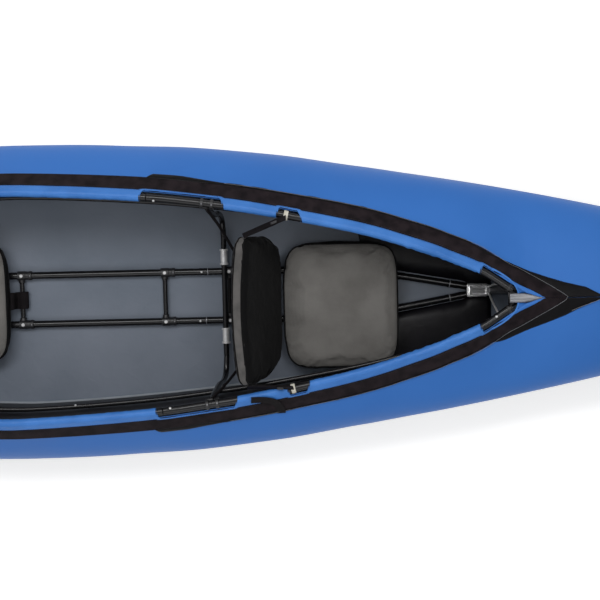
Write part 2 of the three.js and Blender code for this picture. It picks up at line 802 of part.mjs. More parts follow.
function keelHalfSpacing(x) {
  const shareOf = (bend, face) => Math.min(1, Math.max(0, (x - bend) / (face - bend)));
  const taper = shareOf(keelBendX.bow, connectorX.bow) + shareOf(keelBendX.stern, connectorX.stern);
  return mix(keelSpacing / 2, connectorTubeY, taper);
}

function keelTube(side) {
  const [aft, fore] = [connectorX.stern + gap, connectorX.bow - gap];
  const bends = [keelBendX.stern, keelBendX.bow];
  const between = stations.filter((x) => (x > aft && x < bends[0]) || (x > bends[1] && x < fore));
  const places = [aft, ...bends, ...between, fore].sort((a, b) => a - b);
  const rings = places.map((x) =>
    circle(keelRadius, tubeSides).map(([y, z]) => vec(x, side * (keelHalfSpacing(x) + y), keelZ(x) + z)),
  );
  return loft(rings);
}

// A rung is flattened at both ends onto lugs of two clamps that close round the keel tubes.
const lugLength = 34;
const lugHeight = 7;
const lugWidth = 26;
const rivetRadius = 6;
const rivetHeight = 1.6;

function rung(x) {
  const half = keelHalfSpacing(x);
  const z = keelZ(x);
  const inner = half - fittingRadius + webbing;
  const bar = rod(vec(x, -(half - lugLength), z), vec(x, half - lugLength, z), rungRadius);
  const pieces = Object.values(sides).map((side) => {
    const middleY = side * (inner - lugLength / 2);
    const ring = turned(
      ringProfile(boreFor(keelRadius, longTubeSides), fittingRadius, fittingLength),
      vec(x, side * half, z),
      vec(1, 0, 0),
      longTubeSides,
    );
    const lug = box(lugWidth, lugLength, lugHeight, x, middleY, z);
    const top = vec(x, middleY, z + lugHeight / 2);
    const rivet = rod(top.clone().setZ(z), top.clone().setZ(top.z + rivetHeight), rivetRadius, longTubeSides);
    return join(ring, lug, rivet);
  });
  return join(bar, ...pieces);
}

// Keel connectors: a pressed shell with rounded shoulders, and the thin V rib that rises from it
const vRibRadius = 5;
const shoulder = 0.3;
const vRibFootY = 9;
const vRibRise = 14;

function keelConnector(end) {
  const from = connectorFace(end);
  const to = from + end * connectorLength;
  const stepShares = [0, 0.12, 0.75, 1];
  const widthShares = [0.86, 1, 0.8, 0.62];
  const rings = stepShares.map((share, k) => {
    const x = mix(from, to, share);
    const halfWidth = (connectorWidth / 2) * widthShares[k];
    const halfHeight = connectorHeight / 2;
    const corners = [[-1, -shoulder], [-shoulder, -1], [shoulder, -1], [1, -shoulder], [1, shoulder],
      [shoulder, 1], [-shoulder, 1], [-1, shoulder]];
    return corners.map(([y, z]) => vec(x, y * halfWidth, keelZ(x) + z * halfHeight));
  });
  const ribX = mix(from, to, 0.6);
  const [gunwaleY, gunwaleZ] = gunwaleAt(ribX - end * vRibRise);
  const topZ = gunwaleZ - gunwaleRadius + gap;
  const arms = Object.values(sides).map((side) => {
    const top = vec(ribX - end * vRibRise, side * (gunwaleY - gunwaleRadius), topZ);
    return rod(vec(ribX, side * vRibFootY, keelZ(ribX)), top, vRibRadius, longTubeSides);
  });
  return join(loft(rings), ...arms);
}

for (const [name, side] of Object.entries(sides))
  place(frameGroup, name + "_keel_tube", keelTube(side), blackTube);
for (const [name, x] of Object.entries(rungPlaces)) place(frameGroup, name, rung(x), blackTube);
for (const [name, end] of Object.entries(ends))
  place(frameGroup, name + "_keel_connector", keelConnector(end), silverTube);

// Stem frames: one tube from the gunwales' yoke along the ridge, round the stem and back to the keel
const yokeLength = 38;
const yokeHalfWidth = 37;
const yokeHalfHeight = 11;
const deckTubeDrop = 12.8;
const stemRounds = 20;

function stemFrame(end) {
  const yokeX = xAt(tubeEndShare, end) + end * gap;
  const ridgeZ = (x) => gunwaleAt(x)[1] - deckTubeDrop;
  const yokeEnd = yokeX + end * yokeLength;
  const blendShares = [0, 0.35, 0.7, 1];
  const yoke = blendShares.map((share) => {
    const x = mix(yokeX, yokeEnd, share);
    const halfWidth = mix(yokeHalfWidth, stemTubeRadius, share);
    const halfHeight = mix(yokeHalfHeight, stemTubeRadius, share);
    const z = mix(gunwaleAt(x)[1], ridgeZ(x), share);
    return circle(1, tubeSides).map(([y, h]) => vec(x, y * halfWidth, z + h * halfHeight));
  });
  const ridgeShares = [0.605, 0.655, 0.72, 0.81, 0.87];
  const returnShares = [1, 0.8, 0.5, 0.25, 0.1];
  const noseShares = { over: 0.905, tip: 0.924, under: 0.908 };
  const at = (share, z) => vec(xAt(share, end), 0, z);
  const deck = ridgeShares.map((share) => at(share, ridgeZ(xAt(share, end))));
  const foot = connectorFace(end) + end * (connectorLength + gap);
  const turnX = xAt(ridgeShares[ridgeShares.length - 1], end);
  const keel = returnShares.map((share) => {
    const x = mix(foot, turnX, share);
    return vec(x, 0, keelZ(x) + (share * stemTubeRadius) / 2);
  });
  const nose = [
    at(noseShares.over, ridgeZ(xAt(noseShares.over, end)) - stemTubeRadius),
    at(noseShares.tip, mix(keelZ(xAt(noseShares.tip, end)), ridgeZ(xAt(noseShares.tip, end)), 0.55)),
    at(noseShares.under, keelZ(xAt(noseShares.under, end)) + 2 * stemTubeRadius),
  ];
  const tube = pipe(
    [vec(mix(yokeX, yokeEnd, 0.6), 0, ridgeZ(yokeEnd)), ...deck, ...nose, ...keel, vec(foot, 0, keelZ(foot))],
    stemTubeRadius,
    stemRounds,
    longTubeSides,
  );
  return join(loft(yoke), tube);
}

for (const [name, end] of Object.entries(ends))
  place(frameGroup, name + "_stem_frame", stemFrame(end), silverTube);

// Ribs: a bar across the keel tubes, an arm up each side, and a locking sleeve over each joint
const ribHalfBar = 120;
const ribZ = keelCentre + fittingRadius + gap + ribRadius;
const lockStart = 96;
const lockLength = 48;
const lockRadius = 10.4;
const lockFlange = 12.8;
const lockFlangeLength = 6;
const armStraightTo = 188;
const clampSpacing = 28;
const clampWidth = 9;
const clampRadius = 14.4;
const armSteps = 14;

function ribArm(seatX, side) {
  const x = seatX + ribAhead;
  const clampX = seatX + clampAhead;
  const [gunwaleY, gunwaleZ] = gunwaleAt(clampX);
  const stringerZ = mix(0, gunwaleZ, stringerHeightShare);
  const clear = wallAt(x, stringerZ) - 2 * (stringerRadius + gap) - gap - ribRadius;
  const path = [
    ...[0, 0.33, 0.67, 1].map((share) => vec(x, mix(ribHalfBar + gap, armStraightTo, share), ribZ)),
    vec(mix(x, clampX, 0.1), mix(armStraightTo, clear, 0.68), ribZ + ribRadius * 1.5),
    vec(mix(x, clampX, 0.3), clear - ribRadius / 4, mix(ribZ, gunwaleZ, 0.22)),
    vec(mix(x, clampX, 0.6), clear - ribRadius / 4, stringerZ),
    vec(mix(x, clampX, 0.9), mix(clear, gunwaleY, 0.3), mix(stringerZ, gunwaleZ, 0.65)),
    vec(clampX, gunwaleY - clampRadius * 0.75, gunwaleZ - clampRadius * 0.9),
  ].map((p) => p.setY(side * p.y));
  const { centre, along } = gunwaleFrame(clampX, side, clampSpacing);
  const bore = boreFor(gunwaleRadius, longTubeSides);
  const rings = [-0.5, 0.5].map((share) =>
    turned(
      ringProfile(bore, clampRadius, clampWidth),
      centre.clone().addScaledVector(along, share * clampSpacing),
      along,
      longTubeSides,
    ),
  );
  const tie = (share) =>
    centre
      .clone()
      .addScaledVector(along, share * clampSpacing)
      .add(vec(0, -side * clampRadius * 0.75, -clampRadius * 0.9));
  const bridge = rod(tie(-0.66), tie(0.66), clampWidth / 2, longTubeSides);
  const through = rod(
    centre.clone().addScaledVector(along, -clampSpacing),
    centre.clone().addScaledVector(along, clampSpacing),
    bore,
    longTubeSides,
  );
  return cut(join(pipe(path, ribRadius, armSteps, longTubeSides), bridge, ...rings), through);
}

function lockingSleeve(seatX, side) {
  const bore = boreFor(ribRadius);
  const half = lockLength / 2;
  const profile = [
    [bore, -half],
    [lockFlange, -half],
    [lockFlange, -half + lockFlangeLength],
    [lockRadius, -half + lockFlangeLength],
    [lockRadius, half - lockFlangeLength],
    [lockFlange, half - lockFlangeLength],
    [lockFlange, half],
    [bore, half],
  ];
  return turned(profile, vec(seatX + ribAhead, side * (lockStart + half), ribZ), vec(0, 1, 0));
}

for (const [seat, seatX] of [["front", frontSeatX], ["rear", rearSeatX]]) {
  const x = seatX + ribAhead;
  const bar = rod(vec(x, -ribHalfBar, ribZ), vec(x, ribHalfBar, ribZ), ribRadius);
  place(frameGroup, seat + "_rib_bar", bar, blackTube);
  for (const [name, side] of Object.entries(sides)) {
    place(frameGroup, `${seat}_rib_${name}_arm`, ribArm(seatX, side), blackTube);
    place(frameGroup, `${seat}_rib_${name}_lock`, lockingSleeve(seatX, side), silverTube);
  }
}

// Seats: a padded cushion on the keel tubes and a padded back that folds on the seam behind it
const cushionFoot = keelCentre + fittingRadius + gap;
const hingeHeight = 88;
const backrestFoot = 45;
const backrestBow = 28;
const cushionPoints = 24;

// A rounded square, as a superellipse
const roundSquare = (halfLength, halfWidth, count) =>
  circle(1, count).map(([c, s]) => {
    const power = 2 / 5;
    return [
      Math.sign(c) * Math.abs(c) ** power * halfLength,
      Math.sign(s) * Math.abs(s) ** power * halfWidth,
    ];
  });

function cushion() {
  const heightShares = [0, 0.1, 0.32, 0.55, 0.74, 0.87, 0.96, 0.99];
  const insetShares = [0.09, 0.03, 0, 0.01, 0.05, 0.14, 0.4, 0.75];
  const rings = heightShares.map((height, k) => {
    const size = 1 - insetShares[k];
    return roundSquare((cushionLength / 2) * size, (cushionWidth / 2) * size, cushionPoints).map(([x, y]) =>
      vec(x, y, cushionFoot + cushionHeight * height),
    );
  });
  return loft(rings);
}

// The front face leans aft, and the panel bows aft between its side edges.
const backrestFace = (z) => -cushionLength / 2 - gap - (z - backrestFoot) * Math.tan(radians(reclineDegrees));
const panelHeightShares = [0, 0.04, 0.15, 0.4, 0.65, 0.85, 0.95, 1];
const panelFillShares = [0.55, 0.85, 1, 1, 1, 1, 0.9, 0.6];
const panelTall = backrestHeight * Math.cos(radians(reclineDegrees));
const panelHalfWidths = panelHeightShares.map((height, k) => {
  const corner = backrestThickness * (1 - panelFillShares[k]);
  return mix(backrestFootWidth, backrestTopWidth, Math.min(1, height * 1.1)) / 2 - corner;
});

function panelHalfWidthAt(z) {
  const height = (z - backrestFoot) / panelTall;
  const next = panelHeightShares.findIndex((share) => share >= height);
  const [low, high] = panelHeightShares.slice(next - 1, next + 1);
  return mix(panelHalfWidths[next - 1], panelHalfWidths[next], (height - low) / (high - low));
}

function backrest() {
  const acrossShares = [-1, -0.97, -0.85, -0.5, 0, 0.5, 0.85, 0.97, 1];
  const rings = panelHeightShares.map((height, k) => {
    const z = backrestFoot + panelTall * height;
    const bow = backrestBow * height;
    const halfWidth = panelHalfWidths[k];
    const thickness = backrestThickness * panelFillShares[k];
    const point = (share, isBack) => {
      const edge = 1 - Math.abs(share) ** 8;
      const depth = backrestThickness / 2 + ((isBack ? 1 : -1) * thickness * (0.3 + 0.7 * edge)) / 2;
      return vec(backrestFace(z) - depth - bow * (1 - share ** 2), share * halfWidth, z);
    };
    const front = acrossShares.map((share) => point(share, false));
    const back = acrossShares.map((share) => point(share, true)).reverse();
    return [...front, ...back];
  });
  return loft(rings, true);
}

const frontSeat = new THREE.Group();
frontSeat.position.set(frontSeatX, seatShiftY, 0);
const rearSeat = new THREE.Group();
rearSeat.position.set(rearSeatX, 0, 0);
kayak.add(frontSeat, rearSeat);
for (const [name, group] of Object.entries({ front: frontSeat, rear: rearSeat })) {
  place(group, name + "_cushion", cushion(), meshFabric);
  place(group, name + "_backrest", backrest(), blackPad);
}

// Seat straps: a band round each gunwale tube in its window, with a strap back to the backrest
const strapWidth = 25;
const bandLength = 12;
const strapZ = 338;
const bandAhead = { port: -162, starboard: -152 };

function seatStrap(name, seatX, shiftY) {
  const side = sides[name];
  const bandX = seatX + bandAhead[name] + strapWidth / 4;
  const [y, z] = gunwaleAt(bandX);
  const bore = boreFor(gunwaleRadius);
  const { centre, along } = gunwaleFrame(bandX, side, strapWidth);
  const band = turned(ringProfile(bore, bore + webbing, bandLength), centre, along);
  const reach = along.clone().multiplyScalar(2 * strapWidth);
  const through = rod(centre.clone().sub(reach), centre.clone().add(reach), bore);
  const backY = shiftY + side * (panelHalfWidthAt(strapZ) + gap + webbing / 2);
  const backX = seatX + backrestFace(strapZ) - backrestThickness / 2;
  const path = [
    vec(backX, backY, strapZ),
    vec(mix(backX, bandX, 0.5), mix(backY, side * (y - bore), 0.5), mix(strapZ, z + bore, 0.55)),
    vec(bandX, side * (y - bore / 2), z + bore + strapWidth * 0.4),
  ];
  return cut(join(band, strap(path, strapWidth, webbing, vec(0, 0, 1))), through);
}

// Tethers: webbing from each rib clamp to a ring behind the front backrest
const tetherWidth = 18;
const tetherRing = 14;
const tetherWire = 2.2;
const tetherY = 150;
const tetherZ = 300;

function tether(side) {
  const clampX = frontSeatX + clampAhead;
  const [y, z] = gunwaleAt(clampX);
  const acrossShare = (tetherY - 2 * tetherRing) / (backrestTopWidth / 2);
  const bow = backrestBow * (1 - acrossShare ** 2);
  const backX = frontSeatX + backrestFace(tetherZ) - backrestThickness - bow;
  const ringY = seatShiftY + side * tetherY;
  const centre = vec(backX - tetherWire - 2 * gap, ringY, tetherZ);
  const geometry = new THREE.TorusGeometry(tetherRing, tetherWire, 6, 12);
  geometry.rotateY(Math.PI / 2 + radians(reclineDegrees));
  geometry.translate(...centre.toArray());
  const path = [
    vec(clampX, side * (y - clampRadius - gap - webbing / 2), z),
    vec(mix(clampX, centre.x, 0.45), mix(side * y, ringY, 0.4), mix(z, tetherZ, 0.5)),
    vec(centre.x - tetherWire, ringY + side * tetherRing, tetherZ),
  ];
  return join(solidOf(geometry), strap(path, tetherWidth, webbing, vec(0, 0, 1)));
}

// The loop that ties the rear cushion to the rung in front of it
const rungStrapWidth = 46;
function rungStrap() {
  const x = rungPlaces.rear_seat_rung;
  const bore = boreFor(rungRadius);
  const loop = ringProfile(bore, bore + webbing, rungStrapWidth);
  const ring = turned(loop, vec(x, 0, keelZ(x)), vec(0, 1, 0));
  const reachX = rearSeatX + cushionLength / 2 + gap;
  const path = [
    vec(x - bore - webbing / 2, 0, keelZ(x)),
    vec(reachX + webbing / 2, 0, cushionFoot + cushionHeight / 3),
  ];
  return join(ring, strap(path, rungStrapWidth, webbing, vec(0, 1, 0), 1));
}

const rigging = new THREE.Group();
kayak.add(rigging);
for (const [name, side] of Object.entries(sides)) {
  place(rigging, `front_seat_${name}_strap`, seatStrap(name, frontSeatX, seatShiftY), paleWebbing);
  place(rigging, `rear_seat_${name}_strap`, seatStrap(name, rearSeatX, 0), paleWebbing);
  place(rigging, `front_seat_${name}_tether`, tether(side), blackFabric);
}
place(rigging, "rear_seat_rung_strap", rungStrap(), blackFabric);

export default kayak;
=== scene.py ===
"""A tandem folding kayak seen from above: coated fabric hull, take-apart tube frame, padded seats."""
import logging
import math
from collections.abc import Callable, Sequence
from dataclasses import dataclass
from enum import Enum

import bmesh
import bpy
import numpy as np
from mathutils import Matrix, Vector, noise
from mathutils.bvhtree import BVHTree


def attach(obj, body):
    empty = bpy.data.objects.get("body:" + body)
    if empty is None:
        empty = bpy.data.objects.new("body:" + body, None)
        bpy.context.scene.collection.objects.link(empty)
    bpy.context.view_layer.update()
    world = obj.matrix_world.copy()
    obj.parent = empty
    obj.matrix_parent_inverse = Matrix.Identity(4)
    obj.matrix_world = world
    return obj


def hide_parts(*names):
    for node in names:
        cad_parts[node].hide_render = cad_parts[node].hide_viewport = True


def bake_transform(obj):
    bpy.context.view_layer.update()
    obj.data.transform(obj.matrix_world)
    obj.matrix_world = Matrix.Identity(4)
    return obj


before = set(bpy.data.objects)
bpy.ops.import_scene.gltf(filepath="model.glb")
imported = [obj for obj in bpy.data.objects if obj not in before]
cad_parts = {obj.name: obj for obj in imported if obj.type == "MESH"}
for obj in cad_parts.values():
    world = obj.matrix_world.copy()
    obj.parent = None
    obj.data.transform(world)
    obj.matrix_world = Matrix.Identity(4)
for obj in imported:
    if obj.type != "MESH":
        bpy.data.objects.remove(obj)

MM = 0.001
TURN = 2 * math.pi
LOG = logging.getLogger("kayak")
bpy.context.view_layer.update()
ROOT = "kayak"

Piece = bpy.types.Object
Face = bpy.types.MeshPolygon
Tree = bpy.types.NodeTree
Socket = bpy.types.NodeSocket
Rings = np.ndarray
Points = Sequence[Sequence[float]]
Pair = tuple[float, float]
Triple = tuple[float, float, float]


class Option(Enum):
    """A named option that prints as its plain name."""

    def __str__(self) -> str:
        """Gives the name."""
        return self.name


class Side(Option):
    """The two sides of the boat, with the sign of their Y."""
    port = 1
    starboard = -1


class End(Option):
    """The two ends of the boat, with the sign of their X."""
    bow = 1
    stern = -1


class Weave(Enum):
    """What the surface of a material is made of, at the scale of its threads or grain."""
    smooth = "smooth"
    plain = "plain"
    ribbed = "ribbed"
    mesh = "mesh"
    pile = "pile"
    brushed = "brushed"


def linear(colour: str) -> tuple[float, float, float, float]:
    """Turns an sRGB hex colour to linear values.

    Args:
        colour: the colour, such as "#3f78c0".

    Returns:
        Red, green, blue and an alpha of 1.
    """
    shares = [int(colour[k:k + 2], 16) / 255 for k in (1, 3, 5)]
    return (*[s / 12.92 if s <= 0.04045 else ((s + 0.055) / 1.055) ** 2.4 for s in shares], 1.0)


def add_node(tree: Tree, kind: str, inputs: dict | None = None, **settings) -> bpy.types.Node:
    """Adds a node with its settings, its values and its links.

    Args:
        tree: the node tree.
        kind: the node's type name.
        inputs: a value or an output socket for each input, by name or index.
        **settings: the node's own properties.

    Returns:
        The new node.
    """
    node = tree.nodes.new(kind)
    for key, value in settings.items():
        setattr(node, key, value)
    for key, value in (inputs or {}).items():
        if isinstance(value, Socket):
            tree.links.new(value, node.inputs[key])
        else:
            node.inputs[key].default_value = value
    return node


@dataclass(frozen=True)
class Finish:
    """A material: its record slot, its colours, its gloss and the sizes in millimetres of its patterns."""
    name: str
    slot: str
    colour: str
    shade: str
    roughness: float
    metallic: float = 0.0
    patch_mm: float = 160.0
    weave: Weave = Weave.smooth
    pitch_mm: float = 3.0
    depth_mm: float = 0.1
    crease: Pair = (0.0, 0.0)
    follows_cloth: bool = False
    sheen: float = 0.0
    specular: float = 0.5

    def waves(self, tree: Tree, place: Socket, pitches: Sequence[float]) -> list:
        """Makes a sine along each of the first axes.

        Args:
            tree: the material's tree.
            place: the coordinates, in metres.
            pitches: the distance between crests on each axis, in millimetres.

        Returns:
            One output socket for each pitch.
        """
        split = add_node(tree, "ShaderNodeSeparateXYZ", {0: place})
        scaled = [add_node(tree, "ShaderNodeMath", {0: split.outputs[k], 1: TURN / (pitch * MM)},
                           operation="MULTIPLY") for k, pitch in enumerate(pitches)]
        return [add_node(tree, "ShaderNodeMath", {0: s.outputs[0]}, operation="SINE").outputs[0]
                for s in scaled]

    def surface(self, tree: Tree, place: Socket) -> Socket:
        """Makes the height of the weave or grain.

        Args:
            tree: the material's tree.
            place: the coordinates, in metres.

        Returns:
            The socket that gives the height.
        """
        per_metre = 1 / (self.pitch_mm * MM)
        if self.weave in (Weave.plain, Weave.ribbed):
            along = 1.0 if self.weave is Weave.plain else 0.55
            waves = self.waves(tree, place, [self.pitch_mm * along, self.pitch_mm])
            kind = "MULTIPLY" if self.weave is Weave.plain else "MAXIMUM"
            return add_node(tree, "ShaderNodeMath", {0: waves[0], 1: waves[1]}, operation=kind).outputs[0]
        if self.weave is Weave.mesh:
            return add_node(tree, "ShaderNodeTexVoronoi",
                            {"Vector": place, "Scale": per_metre, "Randomness": 0.25}).outputs["Distance"]
        if self.weave is Weave.brushed:
            stretched = add_node(tree, "ShaderNodeMapping", {"Vector": place, "Scale": (0.05, 1.0, 1.0)})
            place = stretched.outputs[0]
        grain = add_node(tree, "ShaderNodeTexNoise", {"Vector": place, "Scale": per_metre, "Detail": 3.0})
        return grain.outputs["Fac"]

    def material(self) -> bpy.types.Material:
        """Builds the material once and returns it.

        Returns:
            The material.
        """
        made = bpy.data.materials.get(self.name)
        if made:
            return made
        made = bpy.data.materials.new(self.name)
        made.use_nodes = True
        tree = made.node_tree
        tree.nodes.clear()
        where = add_node(tree, "ShaderNodeTexCoord")
        solid = where.outputs["Object"]
        place = where.outputs["UV"] if self.follows_cloth else solid
        patches = add_node(tree, "ShaderNodeTexNoise",
                           {"Vector": solid, "Scale": 1 / (self.patch_mm * MM), "Detail": 4.0})
        height = self.surface(tree, place)
        speckle = add_node(tree, "ShaderNodeMath", {0: height, 1: 0.12, 2: patches.outputs["Fac"]},
                           operation="MULTIPLY_ADD")
        ramp = add_node(tree, "ShaderNodeValToRGB", {"Fac": speckle.outputs[0]})
        ramp.color_ramp.elements[0].position = 0.32
        ramp.color_ramp.elements[0].color = linear(self.shade)
        ramp.color_ramp.elements[1].position = 0.68
        ramp.color_ramp.elements[1].color = linear(self.colour)
        gloss = add_node(tree, "ShaderNodeMapRange", {"Value": patches.outputs["Fac"], "From Min": 0.3,
                                                      "From Max": 0.7, "To Min": self.roughness - 0.06,
                                                      "To Max": self.roughness + 0.06})
        bump = add_node(tree, "ShaderNodeBump", {"Height": height, "Distance": self.depth_mm * MM})
        crease_mm, crease_depth_mm = self.crease
        if crease_mm:
            folds = add_node(tree, "ShaderNodeTexNoise", {"Vector": solid, "Scale": 1 / (crease_mm * MM),
                                                          "Detail": 2.0, "Distortion": 0.6})
            bump = add_node(tree, "ShaderNodeBump",
                            {"Height": folds.outputs["Fac"], "Normal": bump.outputs[0],
                             "Distance": crease_depth_mm * MM})
        shader = add_node(tree, "ShaderNodeBsdfPrincipled",
                          {"Base Color": ramp.outputs["Color"], "Roughness": gloss.outputs[0],
                           "Normal": bump.outputs[0], "Metallic": self.metallic})
        shader.inputs["Specular IOR Level"].default_value = self.specular
        if self.sheen:
            shader.inputs["Sheen Weight"].default_value = self.sheen
            shader.inputs["Sheen Roughness"].default_value = 0.4
        add_node(tree, "ShaderNodeOutputMaterial", {"Surface": shader.outputs[0]})
        return made


# Tarpaulin: polyester cloth with a calendered PVC face, a soft satin with slack creases.
BLUE_TARPAULIN = Finish("blue_pvc_tarpaulin", "hull_top_fabric", "#346ebb", "#2f67b2", 0.46, specular=0.2,
                        patch_mm=420, weave=Weave.plain, pitch_mm=2.4, depth_mm=0.03, crease=(150, 1.2))
GREY_TARPAULIN = Finish("grey_pvc_tarpaulin", "hull_bottom_fabric", "#727985", "#5e6773", 0.42, specular=0.3,
                        patch_mm=420, weave=Weave.plain, pitch_mm=2.4, depth_mm=0.03, crease=(45, 1.5))
BLACK_TARPAULIN = Finish("black_pvc_tarpaulin", "black_fabric", "#121116", "#0b0a0e", 0.4, specular=0.22,
                         patch_mm=200, weave=Weave.plain, pitch_mm=2.4, depth_mm=0.04, crease=(60, 2.2))
# Flap cloth: a thinner black that is less glossy, with folds from having been rolled.
FLAP_CLOTH = Finish("black_flap_cloth", "black_fabric", "#0c0b0e", "#070608", 0.5, specular=0.12, patch_mm=90,
                    weave=Weave.plain, pitch_mm=2.0, depth_mm=0.04, crease=(40, 2.0))
# Sleeve cloth: the same blue on a lighter base, with short gathers over the tube.
SLEEVE_CLOTH = Finish("blue_sleeve_cloth", "hull_top_fabric", "#437dc8", "#346cb4", 0.42, specular=0.25,
                      patch_mm=90, weave=Weave.plain, pitch_mm=1.8, depth_mm=0.04, crease=(16, 1.6))
# Loop tape: a knitted pile that swallows light and keeps a dusty bloom on top.
LOOP_TAPE = Finish("black_loop_tape", "black_fabric", "#262023", "#120f12", 0.95, specular=0.08, patch_mm=30,
                   weave=Weave.pile, pitch_mm=2.2, depth_mm=0.9, crease=(60, 1.2), sheen=0.05)
# Pack cloth: coarse coated nylon, as on the back of a seat.
PACK_CLOTH = Finish("black_pack_cloth", "backrest_fabric", "#19181b", "#111013", 0.7, specular=0.15,
                    patch_mm=60, weave=Weave.plain, pitch_mm=1.6, depth_mm=0.06, crease=(45, 1.6),
                    follows_cloth=True)
# Black anodised tube: drawn aluminium, dyed and sealed, with faint streaks along its length.
ANODISED_TUBE = Finish("black_anodised_aluminium", "black_tube", "#1a1a1c", "#121214", 0.22, metallic=0.3,
                       patch_mm=40, weave=Weave.brushed, pitch_mm=0.8, depth_mm=0.01)
SATIN_ALUMINIUM = Finish("satin_aluminium", "silver_metal", "#dcdcdc", "#c6c7c9", 0.34, metallic=0.45,
                         patch_mm=12, weave=Weave.brushed, pitch_mm=0.7, depth_mm=0.015)
# Stamped sheet: bare and bright, with the marks of the press.
STAMPED_ALUMINIUM = Finish("stamped_aluminium", "silver_metal", "#f6f6f7", "#e6e6e8", 0.24, metallic=0.6,
                           patch_mm=40, weave=Weave.brushed, pitch_mm=0.8, depth_mm=0.01)
DULL_ALUMINIUM = Finish("dull_aluminium", "silver_metal", "#8d8e92", "#7a7b80", 0.42, metallic=0.5,
                        patch_mm=25, weave=Weave.brushed, pitch_mm=0.8, depth_mm=0.02)
# Clamp grey: a die-cast zinc clamp under a dark powder coat.
CLAMP_GREY = Finish("dark_powder_coat", "black_tube", "#29292b", "#1f1f21", 0.4, metallic=0.2, patch_mm=12,
                    weave=Weave.pile, pitch_mm=0.8, depth_mm=0.03)
# Moulded nylon: the tool's fine spark texture gives it a soft dark sheen.
MOULDED_NYLON = Finish("black_moulded_nylon", "black_plastic", "#1c1c1f", "#151517", 0.42, patch_mm=20,
                       weave=Weave.pile, pitch_mm=0.9, depth_mm=0.03)
# Air mesh: a knitted spacer cloth whose cells are drawn 4 mm wide so that they show.
AIR_MESH = Finish("grey_air_mesh", "cushion_mesh", "#757370", "#605e5b", 0.9, specular=0.15, patch_mm=110,
                  weave=Weave.mesh, pitch_mm=4.0, depth_mm=0.7, crease=(70, 2.5), sheen=0.1)
EDGE_MESH = Finish("grey_edge_mesh", "backrest_fabric", "#5a5857", "#474645", 0.9, specular=0.15, patch_mm=30,
                   weave=Weave.mesh, pitch_mm=3.0, depth_mm=0.5, sheen=0.1)
PAD_CLOTH = Finish("black_pad_cloth", "cushion_mesh", "#0d0d0e", "#070708", 0.8, specular=0.12, patch_mm=80,
                   weave=Weave.plain, pitch_mm=2.0, depth_mm=0.08, crease=(60, 2.5), sheen=0.05)
# Webbing: flat woven polyester, ribbed across its width.
BLACK_WEBBING = Finish("woven_black_webbing", "black_webbing", "#1b181a", "#100e10", 0.75, specular=0.1,
                       patch_mm=20, weave=Weave.ribbed, pitch_mm=2.2, depth_mm=0.25, follows_cloth=True)
PALE_WEBBING = Finish("woven_pale_webbing", "pale_webbing", "#dcd8cc", "#c6c1b2", 0.8, patch_mm=8,
                      weave=Weave.ribbed, pitch_mm=2.2, depth_mm=0.25, follows_cloth=True)
# Binding: a narrow woven tape, pale grey, folded over a raw edge. The same pale tape also paints a highlight:
# the pale strip along the flap tail's fold.
EDGE_TAPE_AND_FOLD_HIGHLIGHT = Finish("grey_binding_tape", "black_fabric", "#8e9094", "#77797e", 0.7, patch_mm=20,
                   weave=Weave.plain, pitch_mm=1.2, depth_mm=0.05)
BLACK_THREAD = Finish("black_thread", "black_fabric", "#2a282d", "#1f1d22", 0.7, patch_mm=5, weave=Weave.pile,
                      pitch_mm=0.6, depth_mm=0.05)
BLUE_THREAD = Finish("blue_thread", "hull_top_fabric", "#2f5f9f", "#29558f", 0.7, patch_mm=5,
                     weave=Weave.pile, pitch_mm=0.6, depth_mm=0.05)
# Bladder film: clear grey TPU, seen only through an open valve.
BLADDER_FILM = Finish("grey_bladder_film", "bladder_film", "#9aa0a6", "#8b9197", 0.35, patch_mm=60,
                      weave=Weave.pile, pitch_mm=2.0, depth_mm=0.02)


def finish_piece(piece: Piece, finish: Finish, body: str = ROOT, replaces: Sequence[str] = ()) -> Piece:
    """Dresses a piece, hides the CAD nodes that it stands for and puts it on its body.

    Args:
        piece: the mesh object.
        finish: its material, unless it has its own.
        body: the CAD body that it rides on.
        replaces: the CAD nodes that it stands for.

    Returns:
        The same object.
    """
    if not piece.data.materials:
        piece.data.materials.append(finish.material())
    if replaces:
        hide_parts(*replaces)
    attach(piece, body)
    LOG.info("%s: %d faces", piece.name, len(piece.data.polygons))
    return piece


def mesh_piece(name: str, points: np.ndarray, faces: Sequence[Sequence[int]],
               uvs: Sequence[Sequence[Pair]] | None = None,
               sharp_deg: float = 40.0) -> Piece:
    """Makes an object from points in millimetres.

    Args:
        name: the object's name.
        points: the points, one row each.
        faces: the corners of each face.
        uvs: a place in metres for each corner of each face.
        sharp_deg: the angle past which an edge stays sharp.

    Returns:
        The new object.
    """
    mesh = bpy.data.meshes.new(name)
    mesh.from_pydata((np.asarray(points, float) * MM).tolist(), [], [list(f) for f in faces])
    if uvs is not None:
        layer = mesh.uv_layers.new(name="cloth")
        layer.data.foreach_set("uv", np.array([c for face in uvs for c in face], np.float32).ravel())
    mesh.shade_smooth()
    mesh.set_sharp_from_angle(angle=math.radians(sharp_deg))
    piece = bpy.data.objects.new(name, mesh)
    bpy.context.scene.collection.objects.link(piece)
    return piece


